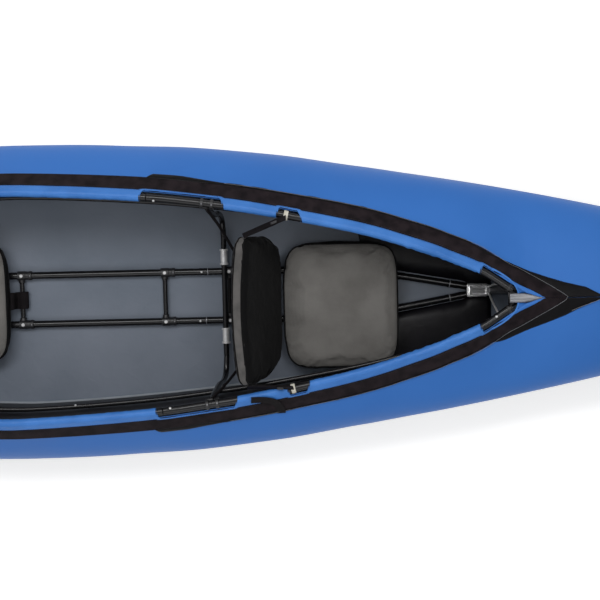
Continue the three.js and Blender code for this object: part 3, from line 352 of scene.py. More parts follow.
def loft(name: str, rings: Rings, wrap: bool = True, capped: bool = True, outward: bool | None = None,
         sharp_deg: float = 40.0) -> Piece:
    """Joins rings of points into a tube, a bar or a sheet, with a cloth map in metres.

    Args:
        name: the object's name.
        rings: points in millimetres, of shape rows by columns by 3.
        wrap: whether each row closes on itself.
        capped: whether the first and last rows are filled.
        outward: for a sheet, whether its faces are turned over.
        sharp_deg: the angle past which an edge stays sharp.

    Returns:
        The new object.
    """
    rings = np.asarray(rings, float)
    rows, columns, _ = rings.shape
    points = rings.reshape(-1, 3)
    along = np.concatenate([[0], np.cumsum(np.linalg.norm(np.diff(rings.mean(1), axis=0), axis=1))]) * MM
    looped = np.concatenate([rings, rings[:, :1]], axis=1) if wrap else rings
    steps = np.linalg.norm(np.diff(looped, axis=1), axis=2)
    across = np.concatenate([np.zeros((rows, 1)), np.cumsum(steps, axis=1)], axis=1) * MM
    faces, uvs = [], []
    for r in range(rows - 1):
        for c in range(columns if wrap else columns - 1):
            d = (c + 1) % columns
            faces.append((r * columns + c, r * columns + d, (r + 1) * columns + d, (r + 1) * columns + c))
            uvs.append(((along[r], across[r, c]), (along[r], across[r, c + 1]),
                        (along[r + 1], across[r + 1, c + 1]), (along[r + 1], across[r + 1, c])))
    if wrap and capped:
        for row, order in ((0, -1), (rows - 1, 1)):
            face = tuple(row * columns + c for c in range(columns))[::order]
            faces.append(face)
            uvs.append(tuple((along[row], across[row, k % columns]) for k in face))
    turned = bool(outward)
    if wrap:
        a, b, c = (rings[:-1], np.roll(rings, -1, 1)[:-1], np.roll(rings, -1, 1)[1:])
        centre = rings.mean(axis=1, keepdims=True)[:-1]
        turned = float((np.cross(b - a, c - a) * (a - centre)).sum()) < 0
    if turned:
        faces = [f[::-1] for f in faces]
        uvs = [u[::-1] for u in uvs]
    return mesh_piece(name, points, faces, uvs, sharp_deg)


def smooth_path(points: Points, step: float) -> np.ndarray:
    """Draws a smooth line through points.

    Args:
        points: the points, in millimetres.
        step: the distance between the line's points, in millimetres.

    Returns:
        The line's points.
    """
    p = np.asarray(points, float)
    ext = np.vstack([2 * p[0] - p[1], p, 2 * p[-1] - p[-2]])
    out = []
    for k in range(len(p) - 1):
        a, b, c, d = ext[k:k + 4]
        count = max(2, int(np.linalg.norm(c - b) / step))
        t = np.linspace(0, 1, count, endpoint=False)[:, None]
        out.append(0.5 * (2 * b + (c - a) * t + (2 * a - 5 * b + 4 * c - d) * t ** 2
                          + (3 * b - a - 3 * c + d) * t ** 3))
    return np.vstack([*out, p[-1:]])


def sections(path: Points, outline: Callable[[int], np.ndarray], across: Sequence[float]) -> Rings:
    """Stands a flat outline across a path at each of its points.

    Args:
        path: the path's points.
        outline: gives the outline at a point, as columns of side and lift.
        across: the direction of side, as far as the path allows.

    Returns:
        The rings.
    """
    path = np.asarray(path, float)
    tangents = np.gradient(path, axis=0)
    tangents /= np.linalg.norm(tangents, axis=1)[:, None]
    rings = []
    for k, (at, along) in enumerate(zip(path, tangents)):
        side = np.asarray(across, float) - np.dot(across, along) * along
        side /= np.linalg.norm(side)
        lift = np.cross(side, along)
        shape = outline(k)
        rings.append(at + shape[:, :1] * side + shape[:, 1:] * lift)
    return np.array(rings)


def circle(radius: float, count: int) -> np.ndarray:
    """Gives the points of a circle round the middle, as two columns."""
    angles = np.arange(count) / count * TURN
    return np.stack([radius * np.cos(angles), radius * np.sin(angles)], 1)


def squarish(power: float, count: int) -> list[Pair]:
    """Gives points round a square of half width 1 whose corners are as round as the power is large."""
    return [tuple(math.copysign(abs(c) ** power, c) for c in point) for point in circle(1, count)]


def symmetric(lower: Sequence[Pair]) -> list[Pair]:
    """Completes a profile of radius and height whose upper half mirrors the lower one."""
    return [*lower, *[(radius, -height) for radius, height in reversed(lower)]]


def tube(name: str, points: Points, radius: float | Sequence[float], step: float = 0.0,
         sides: int = 18, across: Sequence[float] = (0.02, 0.05, 1.0)) -> Piece:
    """Makes a round bar or tube along a path.

    Args:
        name: the object's name.
        points: the path, in millimetres.
        radius: one radius, or one for each point.
        step: the spacing of a smooth line through the points, or 0 to join them by straight lines.
        sides: the facets round it.
        across: a direction that the path never follows.

    Returns:
        The new object.
    """
    path = smooth_path(points, step) if step else np.asarray(points, float)
    radii = np.broadcast_to(radius, len(path)) if np.ndim(radius) == 0 else np.asarray(radius, float)
    return loft(name, sections(path, lambda k: circle(radii[k], sides), across))


def ribbon(name: str, points: Points, width: float, thickness: float,
           across: Sequence[float], step: float = 6.0, lying: bool = False) -> Piece:
    """Makes a strap with rounded edges along a smooth path.

    Args:
        name: the object's name.
        points: the path, in millimetres.
        width: the strap's width.
        thickness: the strap's thickness.
        across: the direction of its width.
        step: the spacing of its rows.
        lying: whether across is the direction of its thickness instead.

    Returns:
        The new object.
    """
    half, rim = width / 2, thickness / 2
    shape = np.array([[-half, 0], [-half + rim, -rim], [0, -rim], [half - rim, -rim], [half, 0],
                      [half - rim, rim], [0, rim], [-half + rim, rim]])
    shape = shape[:, ::-1] if lying else shape
    return loft(name, sections(smooth_path(points, step), lambda _: shape, across))


def turned(name: str, profile: Sequence[Pair], at: Sequence[float], direction: Sequence[float],
           sides: int = 32) -> Piece:
    """Turns a profile of radius and height round an axis. The profile closes on itself.

    Args:
        name: the object's name.
        profile: radius and height, in millimetres.
        at: the place of height zero on the axis.
        direction: the way that height grows.
        sides: the facets round it.

    Returns:
        The new object.
    """
    spin = Vector((0, 0, 1)).rotation_difference(Vector(direction)).to_matrix()
    rings = []
    for k in range(sides):
        angle = k / sides * TURN
        ring = [spin @ Vector((max(r, 0.01) * math.cos(angle), max(r, 0.01) * math.sin(angle), h))
                for r, h in profile]
        rings.append([np.array(p) + np.asarray(at, float) for p in ring])
    rings = np.array([*rings, rings[0]])
    piece = loft(name, rings, wrap=True, capped=False, sharp_deg=32)
    weld(piece)
    return piece


def weld(piece: Piece, distance_mm: float = 0.02) -> None:
    """Merges doubled points and turns the faces outwards.

    Args:
        piece: the mesh object.
        distance_mm: how near two points are merged.
    """
    work = bmesh.new()
    work.from_mesh(piece.data)
    bmesh.ops.remove_doubles(work, verts=work.verts, dist=distance_mm * MM)
    bmesh.ops.recalc_face_normals(work, faces=work.faces)
    work.to_mesh(piece.data)
    work.free()


def block(name: str, outline: Sequence[Pair], low: float, high: float, bevel: float = 1.0,
          place: Callable[[float, float, float], Sequence[float]] | None = None) -> Piece:
    """Raises a flat outline into a plate or block whose top and bottom edges are rounded.

    Args:
        name: the object's name.
        outline: the corners, in order.
        low: the height of its bottom.
        high: the height of its top.
        bevel: the size of the rounding.
        place: turns the outline's coordinates into the boat's.

    Returns:
        The new object.
    """
    flat = np.asarray(outline, float)
    middle = flat.mean(0)
    size = np.abs(flat - middle).max()
    shrink = 1 - bevel / size
    levels = [(low, shrink), (low + bevel, 1.0), (high - bevel, 1.0), (high, shrink)]
    rings = np.array([[(*(middle + (p - middle) * s), z) for p in flat] for z, s in levels])
    if place:
        rings = np.array([[place(*p) for p in ring] for ring in rings])
    piece = loft(name, rings, sharp_deg=30)
    weld(piece)
    return piece


def rounded(length: float, width: float, corner: float, steps: int = 5) -> np.ndarray:
    """Gives the outline of a rectangle with round corners.

    Args:
        length: its size along the first axis.
        width: its size along the second.
        corner: the radius of its corners.
        steps: the points on each corner.

    Returns:
        The outline's points.
    """
    points = []
    for k, (sx, sy) in enumerate(((1, 1), (-1, 1), (-1, -1), (1, -1))):
        for s in range(steps):
            angle = (k + s / (steps - 1)) * math.pi / 2
            points.append((sx * (length / 2 - corner) + corner * math.cos(angle),
                           sy * (width / 2 - corner) + corner * math.sin(angle)))
    return np.array(points)


def joined(name: str, pieces: Sequence[Piece]) -> Piece:
    """Joins pieces into one object and names it.

    Args:
        name: the new name.
        pieces: the objects, whose materials are kept.

    Returns:
        The joined object.
    """
    bpy.ops.object.select_all(action="DESELECT")
    for piece in pieces:
        piece.select_set(True)
    bpy.context.view_layer.objects.active = pieces[0]
    bpy.ops.object.join()
    pieces[0].name = pieces[0].data.name = name
    return pieces[0]


def dress(piece: Piece, finish: Finish) -> Piece:
    """Gives a piece its material before it is joined to others.

    Args:
        piece: the mesh object.
        finish: its material.

    Returns:
        The same object.
    """
    piece.data.materials.clear()
    piece.data.materials.append(finish.material())
    return piece


def face_up(piece: Piece) -> None:
    """Turns over the faces of a sheet that look down.

    Args:
        piece: the mesh object.
    """
    for face in piece.data.polygons:
        if face.normal.z < 0:
            face.flip()


def spokes(up: Vector, radius: float, height: float, count: int) -> list[np.ndarray]:
    """Gives offsets evenly round an axis, at a radius and a height."""
    spin = Vector((0, 0, 1)).rotation_difference(up).to_matrix()
    return [np.array(spin @ Vector((*place, height))) for place in circle(radius, count)]


def scattered(name: str, places: Points, directions: Points,
              make: Callable[[Tree, dict], Socket], sizes: dict[str, float],
              finish: Finish) -> Piece:
    """Sets a small mesh on each of many places with Geometry Nodes.

    Args:
        name: the object's name.
        places: the places, in millimetres.
        directions: the way that each one's Z points.
        make: builds the small mesh from the tree's named inputs and returns its socket.
        sizes: the named inputs and their values in millimetres.
        finish: the material.

    Returns:
        A plain mesh object.
    """
    mesh = bpy.data.meshes.new(name)
    mesh.from_pydata((np.asarray(places, float) * MM).tolist(), [], [])
    ways = np.asarray(directions, float)
    ways = ways / np.linalg.norm(ways, axis=1)[:, None]
    layer = mesh.attributes.new("way", "FLOAT_VECTOR", "POINT")
    layer.data.foreach_set("vector", ways.astype(np.float32).ravel())
    piece = bpy.data.objects.new(name, mesh)
    bpy.context.scene.collection.objects.link(piece)
    tree = bpy.data.node_groups.new(name, "GeometryNodeTree")
    tree.interface.new_socket("Geometry", in_out="INPUT", socket_type="NodeSocketGeometry")
    sockets = {key: tree.interface.new_socket(key, in_out="INPUT", socket_type="NodeSocketFloat")
               for key in sizes}
    tree.interface.new_socket("Geometry", in_out="OUTPUT", socket_type="NodeSocketGeometry")
    given = add_node(tree, "NodeGroupInput")
    way = add_node(tree, "GeometryNodeInputNamedAttribute", {"Name": "way"}, data_type="FLOAT_VECTOR")
    turn = add_node(tree, "FunctionNodeAlignRotationToVector", {"Vector": way.outputs["Attribute"]}, axis="Z")
    small = make(tree, {key: given.outputs[key] for key in sizes})
    copies = add_node(tree, "GeometryNodeInstanceOnPoints", {"Points": given.outputs["Geometry"],
                                                             "Instance": small, "Rotation": turn.outputs[0]})
    real = add_node(tree, "GeometryNodeRealizeInstances", {0: copies.outputs[0]})
    coated = add_node(tree, "GeometryNodeSetMaterial", {0: real.outputs[0], "Material": finish.material()})
    add_node(tree, "NodeGroupOutput", {0: coated.outputs[0]})
    modifier = piece.modifiers.new(name, "NODES")
    modifier.node_group = tree
    for key, value in sizes.items():
        modifier[sockets[key].identifier] = value * MM
    made = bpy.data.meshes.new_from_object(piece.evaluated_get(bpy.context.evaluated_depsgraph_get()))
    piece.modifiers.clear()
    piece.data = made
    made.name = name
    return piece


def screw_heads(name: str, places: Points, directions: Points, radius: float,
                height: float, finish: Finish = MOULDED_NYLON) -> Piece:
    """Sets low round heads, such as rivets, screws or grip ribs, on many places.

    Args:
        name: the object's name.
        places: the places, in millimetres.
        directions: the way that each one looks.
        radius: their radius.
        height: their height.
        finish: their material.

    Returns:
        A plain mesh object.
    """
    narrowing, crowning, facets = 0.72, 1.5, 16

    def head(tree: Tree, size: dict) -> Socket:
        """Builds one head: a short drum with a smaller crown.

        Args:
            tree: the node tree.
            size: the named inputs.

        Returns:
            The head's mesh socket.
        """
        drum = add_node(tree, "GeometryNodeMeshCylinder",
                        {"Vertices": facets, "Radius": size["Radius"], "Depth": size["Height"]})
        narrow = add_node(tree, "ShaderNodeMath", {0: size["Radius"], 1: narrowing}, operation="MULTIPLY")
        tall = add_node(tree, "ShaderNodeMath", {0: size["Height"], 1: crowning}, operation="MULTIPLY")
        crown = add_node(tree, "GeometryNodeMeshCone", {"Vertices": facets, "Radius Top": narrow.outputs[0],
                                                        "Radius Bottom": size["Radius"],
                                                        "Depth": tall.outputs[0]})
        both = add_node(tree, "GeometryNodeJoinGeometry", {0: drum.outputs[0]})
        tree.links.new(crown.outputs[0], both.inputs[0])
        return both.outputs[0]

    return scattered(name, places, directions, head, {"Radius": radius, "Height": height}, finish)


def dashes(name: str, rows: Sequence[tuple[np.ndarray, np.ndarray]], length: float, radius: float,
           finish: Finish) -> Piece:
    """Sews rows of stitches, each a short thread that lies along its row.

    Args:
        name: the object's name.
        rows: for each row the places of its stitches and the ways that they lie.
        length: a stitch's length.
        radius: the thread's radius.
        finish: its material.

    Returns:
        A plain mesh object.
    """

    def stitch(tree: Tree, size: dict) -> Socket:
        """Builds one stitch: a short bar of six sides."""
        return add_node(tree, "GeometryNodeMeshCylinder", {"Vertices": 6, "Radius": size["Radius"],
                                                           "Depth": size["Length"]}).outputs[0]

    places = np.vstack([path for path, _ in rows])
    ways = np.vstack([way for _, way in rows])
    return scattered(name, places, ways, stitch, {"Length": length, "Radius": radius}, finish)


def mix(a: float, b: float, share: float) -> float:
    """Gives the value at a share of the way from a to b."""
    return a + (b - a) * share


def eased(share: float) -> float:
    """Turns a share into one that starts and ends gently."""
    share = min(1.0, max(0.0, share))
    return share * share * (3 - 2 * share)


def faired(x: float, table: Sequence[Pair]) -> float:
    """Gives a small smooth change along the hull, in millimetres, from a table of places and sizes.

    Args:
        x: the place along the hull.
        table: the places and sizes, in order.

    Returns:
        The change.
    """
    for (x0, v0), (x1, v1) in zip(table, table[1:]):
        if x0 <= x <= x1:
            return mix(v0, v1, eased((x - x0) / (x1 - x0)))
    return 0.0


def mirrored(points: Points, side: Side) -> np.ndarray:
    """Gives points drawn for the port side on the side asked for."""
    return np.asarray(points, float) * (1, side.value, 1)


def rumple(x: float, t: float, size: float, seed: float = 0.0) -> float:
    """Gives smooth noise from -1 to 1 over a cloth.

    Args:
        x: the place along it, in millimetres.
        t: the place across it, in millimetres.
        size: the size of a rumple, in millimetres.
        seed: a shift that makes another pattern.

    Returns:
        The noise.
    """
    return noise.noise(Vector((x / size, t / size, seed)))


@dataclass(frozen=True)
class HullLines:
    """The hull's lines in millimetres: the same rules as the part's source, without its stations."""
    widest_x: float = -150.0
    fore: float = 2485.0
    aft: float = 2185.0
    half_beam: float = 462.0
    half_floor: float = 312.0
    half_cockpit: float = 325.0
    gunwale_height: float = 318.0
    sheer_rise: float = 75.0
    level_run: float = 1100.0
    rocker: float = 55.0
    stem: float = 520.0
    stem_rise: float = 245.0
    widest_share: float = 0.47
    cockpit_tip: float = 0.5835
    open_deck: float = 0.58
    closed_deck: float = 0.605
    slopes: Pair = (48.0, 22.0)
    skin_edge: Pair = (13.0, 10.2)
    nose: float = 12.0
    beam_fair: tuple[Pair, ...] = ((-150, 0), (150, 4), (385, 10), (600, 9), (850, 2), (1000, 0))
    cockpit_fair: tuple[Pair, ...] = ((250, 0), (450, -4), (680, -9), (950, -5), (1080, 0),
                                      (1180, 6), (1262, 0))

    def x_at(self, share: float, end: End) -> float:
        """Gives the X of a share of the way from the widest station to an end."""
        return self.widest_x + (share * self.fore if end is End.bow else -share * self.aft)

    def span(self, share: float) -> Pair:
        """Gives the X of a share of the way to the stern and to the bow."""
        return self.x_at(share, End.stern), self.x_at(share, End.bow)

    def length(self, x: float) -> float:
        """Gives the length of the half of the hull that holds X."""
        return self.fore if x >= self.widest_x else self.aft

    def run(self, x: float) -> float:
        """Gives the distance from the widest station."""
        return abs(x - self.widest_x)

    def share(self, x: float) -> float:
        """Gives the share of the way from the widest station to the end."""
        return min(1.0, self.run(x) / self.length(x))

    def keel(self, x: float) -> float:
        """Gives the height of the keel line.

        Args:
            x: the place along the hull.

        Returns:
            The height.
        """
        length, run = self.length(x), self.run(x)
        beyond = max(0.0, run - self.level_run) / (length - self.level_run)
        up = max(0.0, run - (length - self.stem)) / self.stem
        return self.rocker * beyond ** 2 + self.stem_rise * up ** 3

    def gunwale(self, x: float) -> float:
        """Gives the height of the gunwale tube's centre line."""
        return self.gunwale_height + self.sheer_rise * self.share(x) ** 2.2

    def widest(self, x: float) -> float:
        """Gives the height of the widest line, where the two skins lap."""
        return mix(self.keel(x), self.gunwale(x), self.widest_share)

    def beam(self, x: float) -> float:
        """Gives the half width at the widest line."""
        full = (1 - min(1.0, self.share(x) ** 1.7)) ** 0.85
        return 6 + (self.half_beam - 6) * full + faired(x, self.beam_fair)

    def floor(self, x: float) -> float:
        """Gives the half width of the flat of the floor."""
        return 3 + self.half_floor * (1 - min(1.0, self.share(x) ** 1.5)) ** 1.1

    def cockpit(self, x: float) -> float:
        """Gives the half width between the gunwale tubes."""
        share = min(1.0, self.share(x) / self.cockpit_tip)
        narrowing = 0.4 * share ** 1.4 + 0.6 * share ** 4
        return self.half_cockpit * (1 - narrowing) + faired(x, self.cockpit_fair)

    def slope(self, x: float) -> float:
        """Gives the fall of the deck beside the gunwale, as an angle."""
        return math.radians(mix(*self.slopes, min(1.0, self.share(x) / self.closed_deck) ** 1.3))

    def beside(self, x: float, along: float, lift: float) -> Pair:
        """Gives Y and Z beside the gunwale tube, along the fall of the deck and lifted off it.

        Args:
            x: the place along the hull.
            along: the way down the fall of the deck.
            lift: the height off it.

        Returns:
            Y and Z.
        """
        slope = self.slope(x)
        return (self.cockpit(x) + along * math.cos(slope) + lift * math.sin(slope),
                self.gunwale(x) - along * math.sin(slope) + lift * math.cos(slope))

    def deck(self, x: float, along: float, lift: float) -> Pair:
        """Gives Y and Z on the deck, outwards from its upper edge and lifted off it.

        Args:
            x: the place along the hull.
            along: the way down the fall of the deck.
            lift: the height off it.

        Returns:
            Y and Z.
        """
        slope = self.slope(x)
        open_edge = self.beside(x, *self.skin_edge)
        ridge = (0.2 + 1.6 * math.sin(slope), self.gunwale(x) + 5)
        blend = eased((self.share(x) - self.open_deck) / (self.closed_deck - self.open_deck))
        y, z = (mix(a, b, blend) for a, b in zip(open_edge, ridge))
        return (y + along * math.cos(slope) + lift * math.sin(slope),
                z - along * math.sin(slope) + lift * math.cos(slope))

    def on_deck(self, x: float, along: float, lift: float, side: Side) -> Triple:
        """Gives a point on one side's deck that never crosses the middle of the boat."""
        y, z = self.deck(x, along, lift)
        return x, side.value * max(0.0, y), z

    def to_middle(self, x: float) -> float:
        """Gives the way along the fall of the deck from the middle of the boat to the deck's edge."""
        return self.deck(x, 0, 0)[0] / math.cos(self.slope(x))

    def nose_share(self, x: float) -> float:
        """Gives the factor that rounds the last few millimetres of each end."""
        t = max(0.0, self.run(x) - (self.length(x) - self.nose)) / self.nose
        return math.sqrt(max(0.0, 1 - t * t))

    def bottom(self, x: float, steps: int = 16) -> np.ndarray:
        """Gives Y and Z from the keel line to the widest line.

        Args:
            x: the place along the hull.
            steps: how many parts it is drawn in.

        Returns:
            Y and Z, one row for each point.
        """
        half_floor, half_beam, keel, widest = self.floor(x), self.beam(x), self.keel(x), self.widest(x)
        flat = [(half_floor * k / 8, keel) for k in range(8)]
        turn = bezier((half_floor, keel), (mix(half_floor, half_beam, 0.55), keel),
                      (half_beam, mix(widest, keel, 0.55)), (half_beam, widest), steps)
        return np.vstack([flat, turn])

    def side(self, x: float, steps: int = 16) -> np.ndarray:
        """Gives Y and Z from the widest line up to the deck's edge.

        Args:
            x: the place along the hull.
            steps: how many parts it is drawn in.

        Returns:
            Y and Z, one row for each point.
        """
        half_beam, widest, slope = self.beam(x), self.widest(x), self.slope(x)
        edge = self.deck(x, 0, 0)
        taped = max(0.5, min(59.8, (half_beam - edge[0]) / 2))
        band = self.deck(x, taped, 0)
        reach = max(0.0, min(half_beam - band[0], band[1] - widest)) * 0.55
        curve = bezier((half_beam, widest), (half_beam, widest + reach),
                       (band[0] + reach * math.cos(slope), band[1] - reach * math.sin(slope)), band, steps)
        rest = [self.deck(x, taped * (1 - k / 6), 0) for k in range(1, 7)]
        return np.vstack([curve, rest])

    def wall(self, x: float, share: float) -> Pair:
        """Gives Y and Z on the cockpit's inner wall, from its foot to its top.

        Args:
            x: the place along the hull.
            share: the share of the way up it.

        Returns:
            Y and Z.
        """
        foot = (max(self.floor(x) - 2, 18.0), self.keel(x) + 2)
        top = (max(self.cockpit(x), 18.0), self.gunwale(x) - 15.2)
        return mix(foot[0], top[0], share), mix(foot[1], top[1], share)


def bezier(a: Sequence[float], b: Sequence[float], c: Sequence[float], d: Sequence[float],
           steps: int) -> np.ndarray:
    """Gives points on a cubic curve, both ends included.

    Args:
        a: the first end.
        b: the first handle.
        c: the second handle.
        d: the second end.
        steps: how many parts it is drawn in.

    Returns:
        The points, one row each.
    """
    t = np.linspace(0, 1, steps + 1)[:, None]
    a, b, c, d = (np.asarray(p, float) for p in (a, b, c, d))
    return (1 - t) ** 3 * a + 3 * (1 - t) ** 2 * t * b + 3 * (1 - t) * t ** 2 * c + t ** 3 * d


LINES = HullLines()


def stations(start: float, stop: float, step: float, ends: float = 0.0) -> np.ndarray:
    """Gives places along the hull, closer together over the last stretch at each end.

    Args:
        start: the first place.
        stop: the last place.
        step: the usual spacing.
        ends: the length at each end with a spacing of 1.5 mm.

    Returns:
        The places, in order.
    """
    middle = np.linspace(start + ends, stop - ends, max(2, int((stop - start) / step)))
    if not ends:
        return middle
    fine = np.linspace(0, ends, int(ends / 1.5) + 1)[:-1]
    return np.concatenate([start + fine, middle, (stop - fine)[::-1]])


def thicken(piece: Piece, thickness: float, offset: float = -1.0) -> Piece:
    """Gives a sheet its thickness, inwards from its outer face.

    Args:
        piece: the mesh object.
        thickness: its thickness, in millimetres.
        offset: -1 for inwards, 0 for both ways.

    Returns:
        The same object.
    """
    solid = piece.modifiers.new("thickness", "SOLIDIFY")
    solid.thickness = thickness * MM
    solid.offset = offset
    solid.use_even_offset = False
    return piece


def baked(piece: Piece) -> Piece:
    """Applies a piece's modifiers, so that it is a plain mesh.

    Args:
        piece: the mesh object.

    Returns:
        The same object.
    """
    graph = bpy.context.evaluated_depsgraph_get()
    mesh = bpy.data.meshes.new_from_object(piece.evaluated_get(graph))
    piece.modifiers.clear()
    old, piece.data = piece.data, mesh
    bpy.data.meshes.remove(old)
    mesh.name = piece.name
    return piece


@dataclass
class Hull:
    """The fabric hull: its skins, chambers, cockpit edge and fittings.

    Where a size is a share, it runs from 0 at the widest station to 1 at an end.
    """
    skin: float = 1.6
    chamber_end: float = 0.885
    wall_end: float = 0.5665
    liner_ends: Pair = (-1000.0, 838.0)
    liner_fade: float = 40.0
    sleeve_radius: float = 12.2
    sleeve_thickness: float = 1.3
    sleeve_wrap_deg: float = 300.0
    hem: Pair = (18.0, 11.9)
    hem_fold: float = 6.0
    sleeve_end: float = 0.5325
    hem_end: float = 0.548
    window_round: float = 12.0
    tape: Pair = (6.0, 55.5)
    tape_turn: Pair = (0.549, 0.012)
    tape_apex: Pair = (0.6042, 0.6298)
    tape_spread: Pair = (0.5795, 78.0)
    tape_blend: float = 0.35
    web_root: float = 0.541
    web_start: float = 0.5765
    web_tip: float = 0.618
    arch: Pair = (76.0, 84.0)
    arch_power: float = 0.46
    flap_start: float = 250.0
    flap_tip: float = 1505.0
    stitch_end: float = 0.572
    stitch: Pair = (4.2, 0.45)
    stitch_pitch: float = 7.0
    seat_spacing: float = 1168.0
    valve_at: Triple = (-1176.95, 286.37, 261.26)
    valve_way: Triple = (-0.1365, 0.5833, 0.8007)
    cap_ribs: int = 24
    handle_share: float = 0.9
    handle_reach: float = 95.0
    handle_half: float = 42.0
    grip_half: float = 52.0

    def windows(self, side: Side) -> list[Pair]:
        """Gives the stretches where a side's gunwale tube is bare."""
        fore = {Side.port: [(231, 465), (610, 680)], Side.starboard: [(259, 490), (630, 694)]}[side]
        return [*[(a - self.seat_spacing, b - self.seat_spacing) for a, b in fore], *fore]

    def bareness(self, x: float, side: Side) -> float:
        """Gives how far the sleeve is cut back at a place: 0 where it is whole, 1 in a window.

        Args:
            x: the place along the hull.
            side: the side of the boat.

        Returns:
            The share.
        """
        ends = LINES.span(self.sleeve_end)
        spans = [(-1e4, ends[0]), *self.windows(side), (ends[1], 1e4)]
        inside = max(min(x - a, b - x) for a, b in spans)
        t = min(1.0, max(0.0, inside / self.window_round))
        return math.sqrt(1 - (1 - t) ** 2)

    def skins(self) -> None:
        """Builds the grey bottom and the two blue sides."""
        xs = stations(*LINES.span(1), 11.0, LINES.nose)
        rows = []
        for x in xs:
            half = LINES.bottom(x) * (LINES.nose_share(x), 1)
            near = min(1.0, (1 - LINES.share(x)) * 6)
            for k, point in enumerate(half):
                inner = min(1.0, k / 3) * max(0.0, 1 - abs(k - 5) / 9)
                point[1] += near * inner * (0.9 + 0.9 * rumple(x, point[0], 75, 3.1))
            whole = np.vstack([half[::-1], half[1:] * (-1, 1)])
            rows.append([(x, y, z) for y, z in whole])
        bottom = thicken(loft("bottom_skin_cloth", rows, wrap=False, outward=True), self.skin)
        finish_piece(bottom, GREY_TARPAULIN, replaces=["bottom_skin"])
        for side in Side:
            rows = []
            for x in xs:
                line = LINES.side(x)
                for k, point in enumerate(line):
                    free = math.sin(min(1.0, k / 16) * math.pi)
                    gather = rumple(x, k * 9, 190, side.value) * 1.6 + rumple(x * 1.6, k * 3, 60, 5) * 0.35
                    point += free * gather * np.array([0.6, 0.8]) * min(1.0, (1 - LINES.share(x)) * 8)
                line = line * (LINES.nose_share(x), 1)
                rows.append([(x, side.value * y, z) for y, z in line])
            deck = loft(f"{side}_side_cloth", rows, wrap=False, outward=side is Side.starboard)
            finish_piece(thicken(deck, self.skin), BLUE_TARPAULIN, replaces=[f"{side}_side_skin"])
            self.lap_seam(side, xs)

    def lap_seam(self, side: Side, xs: np.ndarray) -> None:
        """Builds the welded tape over the lap of the two skins.

        Args:
            side: the side of the boat.
            xs: the places of its rows.
        """
        rows = []
        for x in xs:
            above, below = LINES.side(x), LINES.bottom(x)[::-1]
            path = np.vstack([above[1:4][::-1], above[:1], below[1:4]])
            reach = np.concatenate([[0], np.cumsum(np.linalg.norm(np.diff(path, axis=0), axis=1))])
            ring = []
            for offset, lift in ((-9, 0.1), (-8.4, 0.8), (0, 0.9), (8.4, 0.8), (9, 0.1)):
                at = np.clip(reach[3] + offset, 0, reach[-1])
                y, z = np.interp(at, reach, path[:, 0]), np.interp(at, reach, path[:, 1])
                ring.append((x, side.value * (y * LINES.nose_share(x) + lift), z))
            rows.append(ring)
        tape = loft(f"{side}_lap_seam", rows, wrap=False, outward=side is Side.port)
        finish_piece(tape, BLUE_TARPAULIN)

    def chambers(self) -> None:
        """Builds the air chambers between the skins and the inner walls."""
        clearance, levels = 3.4, (0.86, 0.55, 0.25, 0.06)
        for side in Side:
            rows = []
            for x in stations(*LINES.span(self.chamber_end), 45):
                outer = np.vstack([LINES.bottom(x)[8:], LINES.side(x)[1:-4]])
                wall = [LINES.wall(x, t) for t in levels]
                middle = np.vstack([outer, wall]).mean(0)
                ring = [p + (middle - p) / max(1.0, np.linalg.norm(middle - p)) * clearance for p in outer]
                ring += [np.array(w) + (3.6 + self.foot_shift(x, t), 0) for w, t in zip(wall, levels)]
                rows.append([(x, side.value * y, z) for y, z in ring])
            chamber = loft(f"{side}_air_chamber", rows)
            finish_piece(chamber, BLADDER_FILM, replaces=[f"{side}_side_chamber"])

    def foot_shift(self, x: float, share: float) -> float:
        """Gives how far the wall's cloth bellies outwards near its foot."""
        return 8 * (1 - share) ** 2 * eased((LINES.floor(x) - 40) / 60)

    def liner_reach(self, x: float) -> float:
        """Gives the half width beside the keel tubes at which the liner panels end."""
        return float(np.interp(x, (-1365, -1343, -996, 835, 1182, 1204), (2, 27, 89, 89, 27, 2)))

    def walls(self) -> None:
        """Builds the black inner walls of the cockpit, with a liner panel at each end of its floor."""
        aft_end, fore_end = self.liner_ends
        for side in Side:
            rows = []
            for x in stations(*LINES.span(self.wall_end), 14):
                line = []
                for k in range(13):
                    y, z = LINES.wall(x, k / 12)
                    belly = math.sin(k / 12 * math.pi) * (1.2 + 1.4 * rumple(x, z, 120, side.value * 7))
                    line.append((x, side.value * (y + belly + self.foot_shift(x, k / 12)), z))
                foot_y, foot_z = line[0][1] * side.value, line[0][2]
                covered = max(eased((x - fore_end) / self.liner_fade), eased((aft_end - x) / self.liner_fade))
                reach = mix(foot_y - 1.5, min(foot_y - 1.5, self.liner_reach(x)), covered)
                panel = []
                for t in (0, 0.25, 0.5, 0.75, 1):
                    puff = 1.6 * math.sin(t * math.pi) * (0.6 + rumple(x, t * 90, 70, 6))
                    panel.append((x, side.value * mix(reach, foot_y - 1, t), foot_z + covered * (2.2 + puff)))
                rows.append([*panel, *line])
            wall = loft(f"{side}_wall_cloth", rows, wrap=False, outward=side is Side.port)
            finish_piece(thicken(wall, self.skin), BLACK_TARPAULIN, replaces=[f"{side}_inner_wall"])

